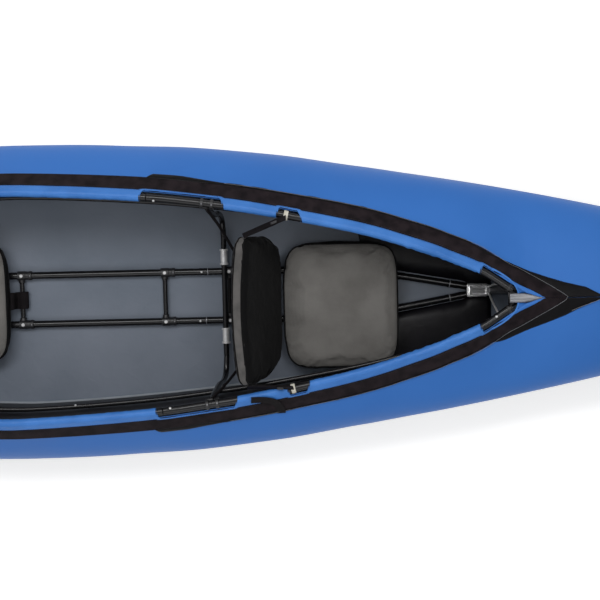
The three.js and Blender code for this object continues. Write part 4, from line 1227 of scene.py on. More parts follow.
    def sleeve_ring(self, x: float, side: Side) -> list[Triple]:
        """Gives one row of the sleeve: its hem, the run to the tube, and the wrap round the tube.

        Args:
            x: the place along the hull.
            side: the side of the boat.

        Returns:
            The row's points.
        """
        bare = self.bareness(x, side)
        gather = 0.9 + 2.6 * eased((x - 900) / 90) * eased((1180 - x) / 60)
        count, start = 26, 5
        flat = self.hem[0] - self.hem_fold
        kept = (flat + self.sleeve_radius * math.radians(self.sleeve_wrap_deg)) * (1 - bare)
        swell = 3.4 * bare
        points = [(self.hem[0] + swell, self.hem[1] + 0.9 * bare),
                  (self.hem[0] - self.hem_fold / 2 + swell, self.hem[1] + 0.9 + bare),
                  (flat + swell * 0.9, self.hem[1] + 0.8 + bare)]
        for k in range(1, count + 1):
            at = kept * k / count
            if at <= flat:
                along, lift = flat - at + swell * 0.9, self.sleeve_radius + mix(0.5, 0.0, at / flat) + bare
            else:
                angle = math.pi / 2 + (at - flat) / self.sleeve_radius
                ruck = rumple(x, math.degrees(angle) * 0.22, 14, side.value) * gather
                ruck += rumple(x, math.degrees(angle) * 0.1, 60, side.value * 3) * 0.5
                radius = self.sleeve_radius + max(-0.3, ruck) * (1 - bare)
                along, lift = radius * math.cos(angle), radius * math.sin(angle)
            points.append((along, lift))
        row = []
        for k, (along, lift) in enumerate(points):
            ridge = 0.35 * rumple(x, along * 0.4, 24, side.value * 2) * (1 if k < start else 0.4)
            y, z = LINES.beside(x, along, lift + ridge)
            row.append((x, side.value * y, z))
        return row

    def sleeves(self) -> None:
        """Builds the blue sleeves round the gunwale tubes, cut away at their windows."""
        for side in Side:
            rows = [self.sleeve_ring(x, side) for x in stations(*LINES.span(self.hem_end), 4.0)]
            sleeve = loft(f"{side}_sleeve_cloth", rows, wrap=False, outward=side is Side.starboard,
                          sharp_deg=70)
            finish_piece(thicken(sleeve, self.sleeve_thickness), SLEEVE_CLOTH,
                         replaces=[f"{side}_gunwale_sleeve"])

    def tape_edges(self, x: float, side: Side) -> Pair:
        """Gives how far the tape's two edges are from the deck's upper edge.

        Args:
            x: the place along the hull.
            side: the side of the boat.

        Returns:
            The inner and the outer edge, along the deck.
        """
        share, base, fall = LINES.share(x), LINES.to_middle(x), math.cos(LINES.slope(x))
        inner = mix(self.tape[0], 0.9, self.bareness(x, side))
        outer = self.tape[1]
        turn, turned_by = self.tape_turn
        if share > turn:
            run = (LINES.run(x) - turn * LINES.length(x)) / (self.tape_apex[0] - turn) / LINES.length(x)
            half = float(np.interp(run, (0, 0.237, 0.511, 0.783, 0.942, 1), (76, 59, 36.5, 19, 6, 0)))
            inner = mix(inner, half / fall - base, eased((share - turn) / turned_by))
        start, spread = self.tape_spread
        for_outer = (share - start) / (self.tape_apex[1] - start)
        if for_outer > -self.tape_blend:
            round_tip = spread / fall * max(0.0, 1 - for_outer) ** 0.9
            outer = mix(outer + base, round_tip,
                        eased((for_outer + self.tape_blend) / self.tape_blend)) - base
        return inner, max(inner, outer)

    def hook_tape(self) -> None:
        """Builds the hook tape round the cockpit, as one run on each side that meets at the ridges."""
        profile = ((0.0, 0.4), (0.012, 1.7), (0.25, 2.0), (0.5, 2.1), (0.75, 2.0), (0.988, 1.7), (1.0, 0.4))
        runs = []
        for side in Side:
            rows = []
            for x in stations(*LINES.span(self.tape_apex[1] - 1e-4), 8.0, 12.0):
                inner, outer = self.tape_edges(x, side)
                ring = [LINES.on_deck(x, mix(inner, outer, t), h + 0.3 * rumple(x, t * 50, 45, side.value)
                                      * (h > 0.5), side) for t, h in profile]
                rows.append([*ring, LINES.on_deck(x, mix(inner, outer, 0.5), 0.4, side)])
            runs.append(dress(loft(f"{side}_tape", rows), LOOP_TAPE))
        finish_piece(joined("hook_tape_pile", runs), LOOP_TAPE, replaces=["hook_tape"])

    def flap_width(self, x: float) -> float:
        """Gives how far the fore flap stands out beyond the tape."""
        return float(np.interp(x, (250, 262, 345, 420, 470, 1070), (0.5, 14, 15, 8, 4, 3.5)))

    def flap_edge(self, x: float, side: Side) -> float:
        """Gives how far the flap's outer edge is from the deck's upper edge.

        Args:
            x: the place along the hull.
            side: the side of the boat.

        Returns:
            The distance along the deck.
        """
        table = {Side.port: ((1225, 116), (1247, 104), (1280, 89), (1313, 74), (1363, 56), (1407, 42),
                             (1468, 27), (self.flap_tip, 7)),
                 Side.starboard: ((1225, 124), (1247, 119), (1313, 91), (1363, 72), (1413, 51), (1446, 33),
                                  (self.flap_tip, 6))}
        half = float(np.interp(x, *zip(*table[side])))
        tail = half / math.cos(LINES.slope(x)) - LINES.to_middle(x)
        return mix(self.tape[1] + self.flap_width(x), tail, eased((x - 1140) / 90))

    def fore_flap(self) -> None:
        """Builds the black flap that follows the tape to a folded tail on the fore deck."""
        xs = np.concatenate([stations(self.flap_start, 1200, 8.0), np.linspace(1204, self.flap_tip, 66)])
        apex, raised_to = LINES.x_at(self.tape_apex[1], End.bow), 1412
        sheets, halves = [], []
        for side in Side:
            rows = []
            for x in xs:
                under_tape = self.tape_edges(x, side)[1] - 5 if x < apex else -1e3
                inner, outer = max(under_tape, -LINES.to_middle(x)), self.flap_edge(x, side)
                row = []
                for k in range(9):
                    over = 2.4 + 0.9 * math.sin(k / 8 * math.pi) + 0.5 * rumple(x, k * 6, 30, side.value * 4)
                    tucked = 0.2 if k == 0 and x < raised_to else over
                    lift = max(0.5, tucked if k < 8 else 1.3)
                    row.append(LINES.on_deck(x, mix(inner, outer, k / 8), lift, side))
                rows.append(row)
            halves.append(rows)
            sheets.append(dress(loft(f"{side}_flap", rows, wrap=False, outward=side is Side.port),
                                FLAP_CLOTH))
        flap = joined("fore_flap_cloth", sheets)
        weld(flap, 0.05)
        face_up(flap)
        finish_piece(thicken(flap, 1.1), FLAP_CLOTH, replaces=["fore_flap"])
        self.flap_edging()

    def flap_edging(self) -> None:
        """Builds the thin pale binding between the tape and the flap, and a pale strip along the tail's fold
        that is a painted highlight on its crest.
        """
        apex = LINES.x_at(self.tape_apex[1] - 2e-4, End.bow)
        xs = np.concatenate([np.linspace(466, 1240, 60), np.linspace(1250, apex, 44)])
        port, starboard = ([LINES.on_deck(x, self.tape_edges(x, side)[1] + 1.0, 2.9, side) for x in xs]
                           for side in Side)
        # The rim strip along the tail's fold is a painted highlight on the fold's crest, not a binding.
        rim = [LINES.on_deck(x, self.flap_edge(x, Side.starboard) * 0.86, 4.2, Side.starboard)
               for x in np.linspace(self.flap_tip - 76, self.flap_tip, 20)]
        flat = np.array([(1.5, 0), (0, 0.6), (-1.5, 0), (0, -0.6)])
        pieces = []
        for name, path, outline in (("flap_binding", port + starboard[::-1][1:], flat),
                                    ("tail_fold", rim, flat * 1.1)):
            pieces.append(dress(loft(name, sections(path, lambda _, o=outline: o, (0.01, 0.01, 1))),
                                EDGE_TAPE_AND_FOLD_HIGHLIGHT))
        finish_piece(joined("flap_edging", pieces), EDGE_TAPE_AND_FOLD_HIGHLIGHT)

    def web_edge(self, x: float, end: End) -> float:
        """Gives the half width of the hollow in front of which a tip's web begins."""
        inwards = max(0.0, (LINES.x_at(self.web_start, end) - x) * end.value)
        return self.arch[1] * (inwards / self.arch[0]) ** self.arch_power

    def web_height(self, x: float, y: float) -> float:
        """Gives the height of a tip's web: level with the deck's edge, and sagging under the stem tube.

        Args:
            x: the place along the hull.
            y: the place across the hull.

        Returns:
            The height.
        """
        sagging = np.interp(abs(y), (0, 9, 13.6, 18, 24, 36, 90), (-26.5, -23.5, -14, -6, -2.3, 2.2, 2.8))
        flat = np.interp(abs(y), (0, 9, 13.6, 24, 36, 90), (-12.5, -12.0, -7.5, -2.0, 2.2, 2.8))
        return LINES.gunwale(x) + mix(flat, sagging, eased((LINES.share(x) - 0.5725) / 0.02))

    def gussets(self) -> None:
        """Builds the blue webs at the tips of the cockpit, with a piped hollow edge."""
        for end in End:
            root, edge, tip = (LINES.x_at(s, end) for s in (self.web_root, self.web_start, self.web_tip))
            xs = np.concatenate([np.linspace(root, edge, 26), np.linspace(edge, tip, 16)[1:]])
            halves, cuts = [], []
            for side in Side:
                rows = []
                for x in xs:
                    inner = self.web_edge(x, end)
                    ys = np.linspace(inner, max(LINES.deck(x, 0, 0)[0] + 5, inner + 1, 14), 22)
                    rows.append([(x, side.value * y, self.web_height(x, y)) for y in ys])
                cuts.append(rows)
                halves.append(dress(loft(f"{end}_{side}_half_web", rows, wrap=False), BLUE_TARPAULIN))
            web = joined(f"{end}_web", halves)
            weld(web, 0.3)
            face_up(web)
            finish_piece(thicken(web, 1.0), BLUE_TARPAULIN, replaces=[f"{end}_gusset"])
            rim = []
            for t in np.linspace(-1, 1, 61):
                x, y = edge - end.value * self.arch[0] * abs(t) ** (1 / self.arch_power), self.arch[1] * t
                rim.append((x, y, self.web_height(x, y) + 0.6))
            finish_piece(tube(f"{end}_web_piping", rim, 2.8, sides=10), SLEEVE_CLOTH)

    def valves(self) -> None:
        """Builds the inflation valves and their screwed caps on the after deck."""
        body = [(11.6, -17), (14.2, -17), (14.2, -0.2), (21, -0.2), (22, 0.8), (22, 2.0), (20.6, 3.0),
                (13, 3.0), (12, 3.4), (12, 10), (11.2, 10)]
        cap = [(12.4, 3.4), (17.4, 3.4), (18, 4.2), (18, 13.4), (16.6, 15.4), (13, 16), (12, 15.2), (0, 15.2),
               (0, 10.4), (12.4, 10.4)]
        for side in Side:
            up = Vector(mirrored(self.valve_way, side)).normalized()
            at = np.array(Vector(mirrored(self.valve_at, side)) + up * 0.9)
            finish_piece(turned(f"{side}_valve_body", body, at, up, 40), MOULDED_NYLON,
                         replaces=[f"{side}_valve"])
            top = turned(f"{side}_cap_body", cap, at, up, 48)
            ribs = screw_heads(f"{side}_cap_grip",
                               [at + spoke for spoke in spokes(up, 17.8, 9.0, self.cap_ribs)],
                               [up] * self.cap_ribs, 1.3, 8.0)
            screwed = joined(f"{side}_valve_top", [dress(top, MOULDED_NYLON), dress(ribs, MOULDED_NYLON)])
            finish_piece(screwed, MOULDED_NYLON, f"{side}_cap", [f"{side}_valve_cap"])

    def handles(self) -> None:
        """Builds the webbing carry handles with their ribbed grips."""
        profile = []
        for h in np.linspace(-self.grip_half, self.grip_half, 41):
            groove = 0.9 * (0.5 + 0.5 * math.cos(h / 8 * TURN)) if abs(h) < 34 else 0
            profile.append((11.8 - groove - 2.4 * max(0, (abs(h) - 49) / 3) ** 2, h))
        profile += [(5.5, self.grip_half), (5.5, -self.grip_half)]
        for end in End:
            x, sign = LINES.x_at(self.handle_share, end), end.value
            grip_x = x - sign * self.handle_reach
            grip_z = LINES.deck(grip_x, 0, 0)[1] + 13.2
            pieces = [dress(turned(f"{end}_grip", profile, (grip_x, 0, grip_z), (0, 1, 0), 28),
                            MOULDED_NYLON)]
            for side in Side:
                y = side.value * self.handle_half
                path = [(x + sign * 2, y, 372.4), (mix(x, grip_x, 0.4), y, 375.5),
                        (mix(x, grip_x, 0.8), y, grip_z + 7), (grip_x - sign * 2, y, grip_z + 12.2)]
                pieces.append(dress(ribbon(f"{end}_{side}_leg", path, 20, 2.2, (0, 1, 0)), BLACK_WEBBING))
            finish_piece(joined(f"{end}_handle", pieces), MOULDED_NYLON, f"{end}_handle",
                         [f"{end}_carry_handle"])
            self.handle_patch(end, x)

    def handle_patch(self, end: End, x: float) -> None:
        """Builds the welded patches that hold a handle's legs, below them on the deck.

        Args:
            end: the end of the boat.
            x: the place of the legs' ends.
        """
        patches = []
        for side in Side:
            rows = []
            for at in x + end.value * np.linspace(-14, 34, 7):
                inner, fall = LINES.deck(at, 0, 0)[0], math.cos(LINES.slope(at))
                ys = self.handle_half + np.linspace(-20, 10, 7)
                rows.append([LINES.on_deck(at, (y - inner) / fall, 0.9, side) for y in ys])
            patch = dress(loft(f"{end}_{side}_patch", rows, wrap=False), BLACK_TARPAULIN)
            face_up(patch)
            patches.append(patch)
        patch = joined(f"{end}_handle_patches", patches)
        finish_piece(thicken(patch, 0.8, 0.0), BLACK_TARPAULIN)

    def stitches(self) -> None:
        """Sews the hems and the tape with rows of thread."""
        tape, hem = [], []
        for side in Side:
            xs = np.arange(*LINES.span(self.stitch_end), self.stitch_pitch)
            edges = np.array([self.tape_edges(x, side) for x in xs]) + (3.2, -3.2)
            tape += [[LINES.on_deck(x, along, 2.25, side) for x, along in zip(xs, column)]
                     for column in edges.T]
            line = []
            for x in xs:
                bare = self.bareness(x, side)
                y, z = LINES.beside(x, self.hem[0] - 2.6 + 3.4 * bare, self.hem[1] + 1.35 + bare)
                line.append((x, side.value * y, z))
            hem.append(line)
        for name, paths, finish in (("tape_stitching", tape, BLACK_THREAD),
                                    ("hem_stitching", hem, BLUE_THREAD)):
            rows = [(np.array(path), np.gradient(np.array(path), axis=0)) for path in paths]
            finish_piece(dashes(name, rows, *self.stitch, finish), finish)

    def build(self) -> None:
        """Builds every piece of the hull."""
        self.skins()
        self.chambers()
        self.walls()
        self.sleeves()
        self.hook_tape()
        self.fore_flap()
        self.gussets()
        self.valves()
        self.handles()
        self.stitches()


@dataclass
class Frame:
    """The take-apart tube frame: gunwales, stringers, keel ladder, ribs and stem frames."""
    gunwale_radius: float = 11.0
    keel_radius: float = 11.0
    keel_lift: float = 16.0
    keel_spacing: float = 150.0
    rung_radius: float = 7.0
    rung_places: tuple[tuple[str, float], ...] = (("front_seat_rung", 811.0), ("fore_rung", 456.0),
                                                  ("middle_rung", 260.0), ("rear_seat_rung", -177.0),
                                                  ("aft_rung", -712.0))
    keel_bends: Pair = (-996.0, 835.0)
    bend_ease: float = 36.0
    keel_collars: Pair = (1130.0, -1291.0)
    keel_joints: Pair = (388.0, -780.0)
    connector_faces: Pair = (-1343.0, 1182.0)
    connector_tube_y: float = 12.6
    connector_size: Triple = (70.0, 42.0, 24.0)
    connector_corner: float = 0.42
    flute_depth: float = 4.6
    v_rod_radius: float = 3.0
    rib_radius: float = 8.5
    rib_height: float = 38.9
    rib_bar_half: float = 120.0
    seat_places: tuple[tuple[str, float], ...] = (("front", 793.0), ("rear", -375.0))
    rib_ahead: float = -349.0
    clamp_ahead: float = -375.0
    clamp_spacing: float = 28.0
    stem_radius: float = 13.0
    deck_tube_drop: float = 12.8
    tube_end: float = 0.5686
    joints: tuple[tuple[Side, float], ...] = ((Side.port, 250.0), (Side.starboard, 278.0))
    joint_button: float = 21.0
    stringer_end: float = 0.5
    stringer_share: float = 0.55
    stringer_radius: float = 7.0
    stringer_inset: float = 7.4

    def gunwale_point(self, x: float, side: Side) -> np.ndarray:
        """Gives the gunwale tube's centre at a place along the hull."""
        return np.array([x, side.value * LINES.cockpit(x), LINES.gunwale(x)])

    def gunwale_way(self, x: float, side: Side) -> np.ndarray:
        """Gives the direction of the gunwale tube at a place along the hull."""
        way = self.gunwale_point(x + 10, side) - self.gunwale_point(x - 10, side)
        return way / np.linalg.norm(way)

    def keel_height(self, x: float) -> float:
        """Gives the height of the keel tubes' centre lines."""
        return LINES.keel(x) + self.keel_lift

    def ridge_height(self, x: float) -> float:
        """Gives the height of the stem tube's centre line under the deck."""
        return LINES.gunwale(x) - self.deck_tube_drop

    def connector_face(self, end: End) -> float:
        """Gives the X at which an end's keel connector begins."""
        return self.connector_faces[1 if end is End.bow else 0]

    def gunwales(self) -> None:
        """Builds the gunwale tubes, the collars at their tips and the snap buttons."""
        r = self.gunwale_radius
        ends = LINES.span(self.tube_end)
        for side, joint in self.joints:
            for name, a, b in (("aft", ends[0], joint - 0.5), ("fore", joint + 0.5, ends[1])):
                xs = np.concatenate([[a, a + 1.2], stations(a + 8, b - 8, 9.0), [b - 1.2, b]])
                radii = np.full(len(xs), r)
                radii[[0, -1]] = r - 1.2
                path = [self.gunwale_point(x, side) for x in xs]
                finish_piece(tube(f"{side}_gunwale_tube_{name}", path, radii, sides=28), ANODISED_TUBE,
                             replaces=[f"{side}_gunwale_{name}"])
            self.snap_button(side, joint)
        ring = symmetric([(11.1, -3), (11.5, -3), (11.9, -2.5)])
        collars = []
        for side in Side:
            for x in (ends[1] - 10, ends[0] + 10):
                at, way = self.gunwale_point(x, side), self.gunwale_way(x, side)
                collars.append(dress(turned(f"{side}_{int(x)}_collar", ring, at, way, 36), CLAMP_GREY))
        finish_piece(joined("gunwale_collars", collars), CLAMP_GREY)

    def snap_button(self, side: Side, joint: float) -> None:
        """Builds the spring button that locks a gunwale joint, in its hole.

        Args:
            side: the side of the boat.
            joint: the X of the joint.
        """
        at = self.gunwale_point(joint + self.joint_button, side)
        up = np.array([0, -side.value * 0.643, 0.766])
        dome = [(0, 7.2), (3.4, 7.2), (3.4, 12.2), (3.0, 12.9), (2.0, 13.2), (0, 13.2)]
        finish_piece(turned(f"{side}_snap_button", dome, at, up, 24), SATIN_ALUMINIUM,
                     f"{side}_button", [f"{side}_gunwale_button"])
        rim = [(3.6, 10.4), (5.2, 10.4), (5.2, 11.15), (4.6, 11.45), (3.9, 11.3), (3.6, 11.0)]
        finish_piece(turned(f"{side}_button_rim", rim, at, up, 24), ANODISED_TUBE)

    def stringers(self) -> None:
        """Builds the stringers along the inner walls."""
        for side in Side:
            path = []
            for x in stations(*LINES.span(self.stringer_end), 24):
                (y0, z0), (y1, z1) = LINES.wall(x, 0), LINES.wall(x, 1)
                lean = math.hypot(y1 - y0, z1 - z0) / (z1 - z0)
                y, z = LINES.wall(x, self.stringer_share)
                path.append((x, side.value * (y - self.stringer_inset * lean), z))
            bar = tube(f"{side}_stringer_tube", path, self.stringer_radius, sides=20)
            finish_piece(bar, ANODISED_TUBE, replaces=[f"{side}_stringer"])

    def keel_point(self, x: float, side: float) -> np.ndarray:
        """Gives the centre of a keel tube, with its eased bends.

        Args:
            x: the place along the hull.
            side: 1 for port and -1 for starboard.

        Returns:
            The point.
        """
        taper = 0.0
        for bend, face in zip(self.keel_bends, self.connector_faces):
            past = (x - bend) * (1 if face > bend else -1)
            taper += (math.sqrt(past ** 2 + self.bend_ease ** 2) + past) / 2 / abs(face - bend)
        y = mix(self.keel_spacing / 2, self.connector_tube_y, min(1.0, taper))
        return np.array([x, side * y, self.keel_height(x)])

    def keel_tubes(self) -> None:
        """Builds the keel tubes with their joints, collars and buttons."""
        ring, seam = symmetric([(11.1, -1.6), (11.5, -1.6), (11.7, -1)]), symmetric([(10.9, -1), (11.25, -1)])
        collars, places, ways = [], [], []
        for side in Side:
            s = side.value
            path = [self.keel_point(x, s)
                    for x in np.linspace(*np.add(self.connector_faces, (0.5, -0.5)), 190)]
            finish_piece(tube(f"{side}_keel_run", path, self.keel_radius, sides=28), ANODISED_TUBE,
                         replaces=[f"{side}_keel_tube"])
            for x in self.keel_collars:
                at, way = self.keel_point(x, s), self.keel_point(x + 5, s) - self.keel_point(x - 5, s)
                collars.append(dress(turned(f"{side}_{int(x)}_keel_collar", ring, at, way, 36),
                                     DULL_ALUMINIUM))
            for x in self.keel_joints:
                at = self.keel_point(x + s * 4, s)
                collars.append(dress(turned(f"{side}_{int(x)}_keel_joint", seam, at, (1, 0, 0), 32),
                                     DULL_ALUMINIUM))
                places.append(at + (-18, 0, 11.3))
                ways.append((0, 0, 1))
        stringer_button, gunwale_button = 3, 1217.0
        y, z = LINES.wall(stringer_button, self.stringer_share)
        places += [(stringer_button, -(y - self.stringer_inset - 4.4), z + 5.6),
                   self.gunwale_point(gunwale_button, Side.starboard) + (0, 5, 10)]
        ways += [(0, 0.6, 0.8), (0, 0.45, 0.9)]
        collars.append(screw_heads("frame_buttons", places, ways, 3.2, 2.2, SATIN_ALUMINIUM))
        finish_piece(joined("keel_collars", collars), SATIN_ALUMINIUM)

    def rungs(self) -> None:
        """Builds the rungs with their clamps, screws and rivets."""
        shell = [(11.15, -12), (13.0, -12), (14.2, -11), (14.2, 12), (13.0, 13.4), (13.0, 22), (14.2, 23.4),
                 (14.2, 31), (13.2, 32), (11.15, 32)]
        stub = [(7.15, 0), (9.0, 0), (9.6, 1), (10.4, 9), (7.15, 9)]
        clamp_radius, clamp_inside, stub_reach = 14.2, 11.6, 21
        screws, rivets = [], []
        for name, x in self.rung_places:
            _, half, z = self.keel_point(x, 1)
            ys = np.linspace(clamp_inside - half, half - clamp_inside, 9)
            pieces = [dress(tube(f"{name}_bar", [(x, y, z) for y in ys], self.rung_radius, sides=24),
                            ANODISED_TUBE)]
            for side in Side:
                s = side.value
                at, root = np.array([x, s * half, z]), np.array([x, s * (half - stub_reach), z])
                pieces += [dress(turned(f"{name}_{side}_clamp", shell, at, (1, 0, 0), 36), MOULDED_NYLON),
                           dress(turned(f"{name}_{side}_stub", stub, root, (0, s, 0), 30), MOULDED_NYLON)]
                screws.append((x + 27, s * half, z + clamp_radius))
                rivets.append((x + 1, s * half, z + clamp_radius))
            finish_piece(joined(f"{name}_ladder", pieces), ANODISED_TUBE, replaces=[name])
        up = [(0, 0, 1)] * len(screws)
        heads = screw_heads("ladder_screws", screws, up, 1.8, 0.8, DULL_ALUMINIUM)
        domes = screw_heads("ladder_rivets", rivets, up, 5.2, 1.3, SATIN_ALUMINIUM)
        finish_piece(joined("ladder_fasteners", [heads, domes]), SATIN_ALUMINIUM)

    def connector_shell(self, end: End) -> Piece:
        """Builds a connector's stamped shell: a box with soft corners and three pressed flutes on top.

        Args:
            end: the end of the boat.

        Returns:
            The dressed shell.
        """
        length, width, height = self.connector_size
        corners = squarish(self.connector_corner, 72)
        rows = []
        for t in np.linspace(0, 1, 29):
            x = self.connector_face(end) + end.value * length * t
            half = width / 2 * np.interp(t, (0, 0.05, 0.12, 0.7, 0.86, 1), (0.95, 1, 1, 0.95, 0.9, 0.8))
            tall = height / 2 * np.interp(t, (0, 0.05, 0.8, 1), (0.9, 1, 0.95, 0.7))
            pressed = self.flute_depth * eased((t - 0.14) / 0.08) * eased((0.86 - t) / 0.1)
            row = []
            for y, h in corners:
                flute = sum(math.exp(-((y * 3.1 - middle) / 0.34) ** 2) for middle in (-1.6, 0, 1.6))
                dent = flute * pressed if h > 0.6 else 0
                row.append((x, y * half, self.keel_height(x) + h * tall - dent))
            rows.append(row)
        return dress(loft(f"{end}_connector_shell", rows), STAMPED_ALUMINIUM)

    def connectors(self) -> None:
        """Builds the stamped connectors that draw the keel tubes together, and their V rods."""
        for end in End:
            sign, face, length = end.value, self.connector_face(end), self.connector_size[0]
            rod_x = face + sign * length * 0.95
            pieces = [self.connector_shell(end)]
            for side in Side:
                top = self.gunwale_point(rod_x - sign * 24, side) + (0, -side.value * 9.5, -9.0)
                foot = np.array([rod_x, side.value * 9, self.keel_height(rod_x) + 8])
                middle = (top + foot) / 2 + (0, side.value * 3, 0)
                pieces.append(dress(tube(f"{end}_{side}_v_rod", [foot, middle, top], self.v_rod_radius,
                                         step=9, sides=16, across=(1, 0.02, 0.01)), SATIN_ALUMINIUM))
            places = []
            for y in (-14.4, 14.4):
                for t, narrowed, lowered in ((0.07, 1, 1), (0.93, 0.82, 0.78)):
                    x = face + sign * length * t
                    places.append((x, y * narrowed, self.keel_height(x) + 12.1 * lowered))
            pieces.append(screw_heads(f"{end}_connector_rivets", places, [(0, 0, 1)] * 4, 2.6, 1.2,
                                      SATIN_ALUMINIUM))
            finish_piece(joined(f"{end}_connector", pieces), SATIN_ALUMINIUM,
                         replaces=[f"{end}_keel_connector"])

    def stem_frames(self) -> None:
        """Builds the tube that runs from the gunwales' yoke round each stem and back to the keel."""
        r, flat = self.stem_radius, circle(1, 32)
        for end in End:
            sign = end.value
            yoke = LINES.x_at(self.tube_end, end) + sign * 0.8
            top = LINES.gunwale(yoke)
            points = [(yoke - sign * 7, 0, top - 4.5), (yoke + sign * 30, 0, top - 5),
                      (yoke + sign * 66, 0, mix(top, self.ridge_height(yoke + sign * 66), 0.75))]
            under_deck = [LINES.x_at(share, end) for share in (0.605, 0.655, 0.72, 0.81, 0.87)]
            points += [(x, 0, self.ridge_height(x)) for x in under_deck]
            over, tip, under = (LINES.x_at(share, end) for share in (0.905, 0.924, 0.908))
            points += [(over, 0, self.ridge_height(over) - r),
                       (tip, 0, mix(self.keel_height(tip), self.ridge_height(tip), 0.55)),
                       (under, 0, self.keel_height(under) + 2 * r)]
            foot = self.connector_face(end) + sign * (self.connector_size[0] + 0.5)
            for share in (1, 0.8, 0.5, 0.25, 0.1, 0):
                x = mix(foot, under_deck[-1], share)
                points.append((x, 0, self.keel_height(x) + share * r / 2))
            path = smooth_path(points, 9.0)

            def outline(k: int) -> np.ndarray:
                """Gives the outline of the flattened tongue, and a circle beyond it.

                Args:
                    k: the number of the path's point.

                Returns:
                    The outline's points.
                """
                beyond = 1.0 if k > len(path) / 2 else eased((abs(path[k][0] - yoke) - 20) / 60)
                grooves = np.exp(-((np.abs(flat[:, :1]) - 0.42) / 0.13) ** 2)
                grooved = 1 - 0.3 * grooves * (1 - beyond)
                width = np.full((32, 1), mix(13.4, r, beyond))
                return flat * np.hstack([width, mix(5.6, r, beyond) * grooved])

            frame_tube = loft(f"{end}_stem_tube", sections(path, outline, (0, 1, 0)))
            rows = []
            for t in np.linspace(0, 1, 12):
                x = yoke + sign * mix(-9, 36, t)
                half, drop = mix(26, 13, eased(t)), mix(-13.5, -19, eased(t))
                rows.append([(x, y * half, LINES.gunwale(x) + drop + h * 5) for y, h in flat])
            yoke_piece = dress(loft(f"{end}_yoke", rows), ANODISED_TUBE)
            stem = joined(f"{end}_stem_assembly", [dress(frame_tube, DULL_ALUMINIUM), yoke_piece])
            finish_piece(stem, DULL_ALUMINIUM, replaces=[f"{end}_stem_frame"])

    def rib(self, seat: str, seat_x: float) -> None:
        """Builds one rib: the bar across the keel, its two arms with their clamps, and the locking sleeves.

        Args:
            seat: the seat's name.
            seat_x: the seat's X.
        """
        x, clamp_x, z = seat_x + self.rib_ahead, seat_x + self.clamp_ahead, self.rib_height
        r, half = self.rib_radius, self.rib_bar_half
        path = [(x, y, z) for y in (-half, 1 - half, -60, 0, 60, half - 1, half)]
        bar = tube(f"{seat}_rib_cross_bar", path, [r - 1, r, r, r, r, r, r - 1], sides=24)
        finish_piece(bar, ANODISED_TUBE, replaces=[f"{seat}_rib_bar"])
        gunwale_y, gunwale_z = LINES.cockpit(clamp_x), LINES.gunwale(clamp_x)
        stringer_z = gunwale_z * self.stringer_share
        foot, top = LINES.wall(x, 0), LINES.wall(x, 1)
        wall_y = mix(foot[0], top[0], (stringer_z - foot[1]) / (top[1] - foot[1]))
        clear = wall_y - 2 * self.stringer_inset - 0.4 - r
        bend_y = 188
        path = [(x, mix(half + 0.4, bend_y, t), z) for t in (0, 0.33, 0.67, 0.9, 1)]
        path += [(mix(x, clamp_x, 0.1), mix(bend_y, clear, 0.68), z + r * 1.5),
                 (mix(x, clamp_x, 0.3), clear - r / 4, mix(z, gunwale_z, 0.22)),
                 (mix(x, clamp_x, 0.6), clear - r / 4, stringer_z),
                 (mix(x, clamp_x, 0.9), mix(clear, gunwale_y, 0.3), mix(stringer_z, gunwale_z, 0.65)),
                 (clamp_x, gunwale_y - 10.8, gunwale_z - 13)]
        ring = symmetric([(11.2, -4.5), (13.4, -4.5), (14.4, -3.4)])
        lock = symmetric([(8.7, -24), (11.9, -24), (12.8, -23.1), (12.8, -18.9), (11.9, -18), (10.4, -17.4)])
        bolts, bolt_ways = [], []
        for side in Side:
            s = side.value
            arm = tube(f"{seat}_{side}_arm", mirrored(path, side), r, step=9, sides=24,
                       across=(1, 0.02, 0.01))
            pieces = [dress(arm, ANODISED_TUBE)]
            centre = self.gunwale_point(clamp_x, side)
            way = self.gunwale_way(clamp_x, side) * self.clamp_spacing
            for name, share in (("aft", -0.5), ("fore", 0.5)):
                at = centre + way * share
                pieces.append(dress(turned(f"{seat}_{side}_{name}_clamp", ring, at, way, 36), CLAMP_GREY))
                bolts.append(at + (0, -s * 2, 14.0))
                bolt_ways.append((0, -s * 0.15, 1))
            tie = centre + (0, -s * 10.8, -13.0)
            pieces.append(dress(tube(f"{seat}_{side}_tie", [tie + way * t for t in (-0.66, 0, 0.66)], 4.6,
                                     sides=16), CLAMP_GREY))
            finish_piece(joined(f"{seat}_rib_{side}_limb", pieces), ANODISED_TUBE,
                         replaces=[f"{seat}_rib_{side}_arm"])
            sleeve = turned(f"{seat}_{side}_locking_sleeve", lock, (x, s * half, z), (0, 1, 0), 44)
            finish_piece(sleeve, SATIN_ALUMINIUM, f"{seat}_{side}_sleeve", [f"{seat}_rib_{side}_lock"])
        heads = screw_heads(f"{seat}_clamp_bolts", bolts, bolt_ways, 2.2, 1.2, DULL_ALUMINIUM)
        finish_piece(heads, SATIN_ALUMINIUM)

    def build(self) -> None:
        """Builds every piece of the frame."""
        self.gunwales()
        self.stringers()
        self.keel_tubes()
        self.rungs()
        self.connectors()
        self.stem_frames()
        for seat, seat_x in self.seat_places:
            self.rib(seat, seat_x)


def remeshed(piece: Piece, voxel_mm: float) -> Piece:
    """Gives a closed form an even mesh.

    Args:
        piece: the mesh object.
        voxel_mm: the size of the new mesh's faces.

    Returns:
        The same object.
    """
    modifier = piece.modifiers.new("even", "REMESH")
    modifier.mode = "VOXEL"
    modifier.voxel_size = voxel_mm * MM
    return baked(piece)


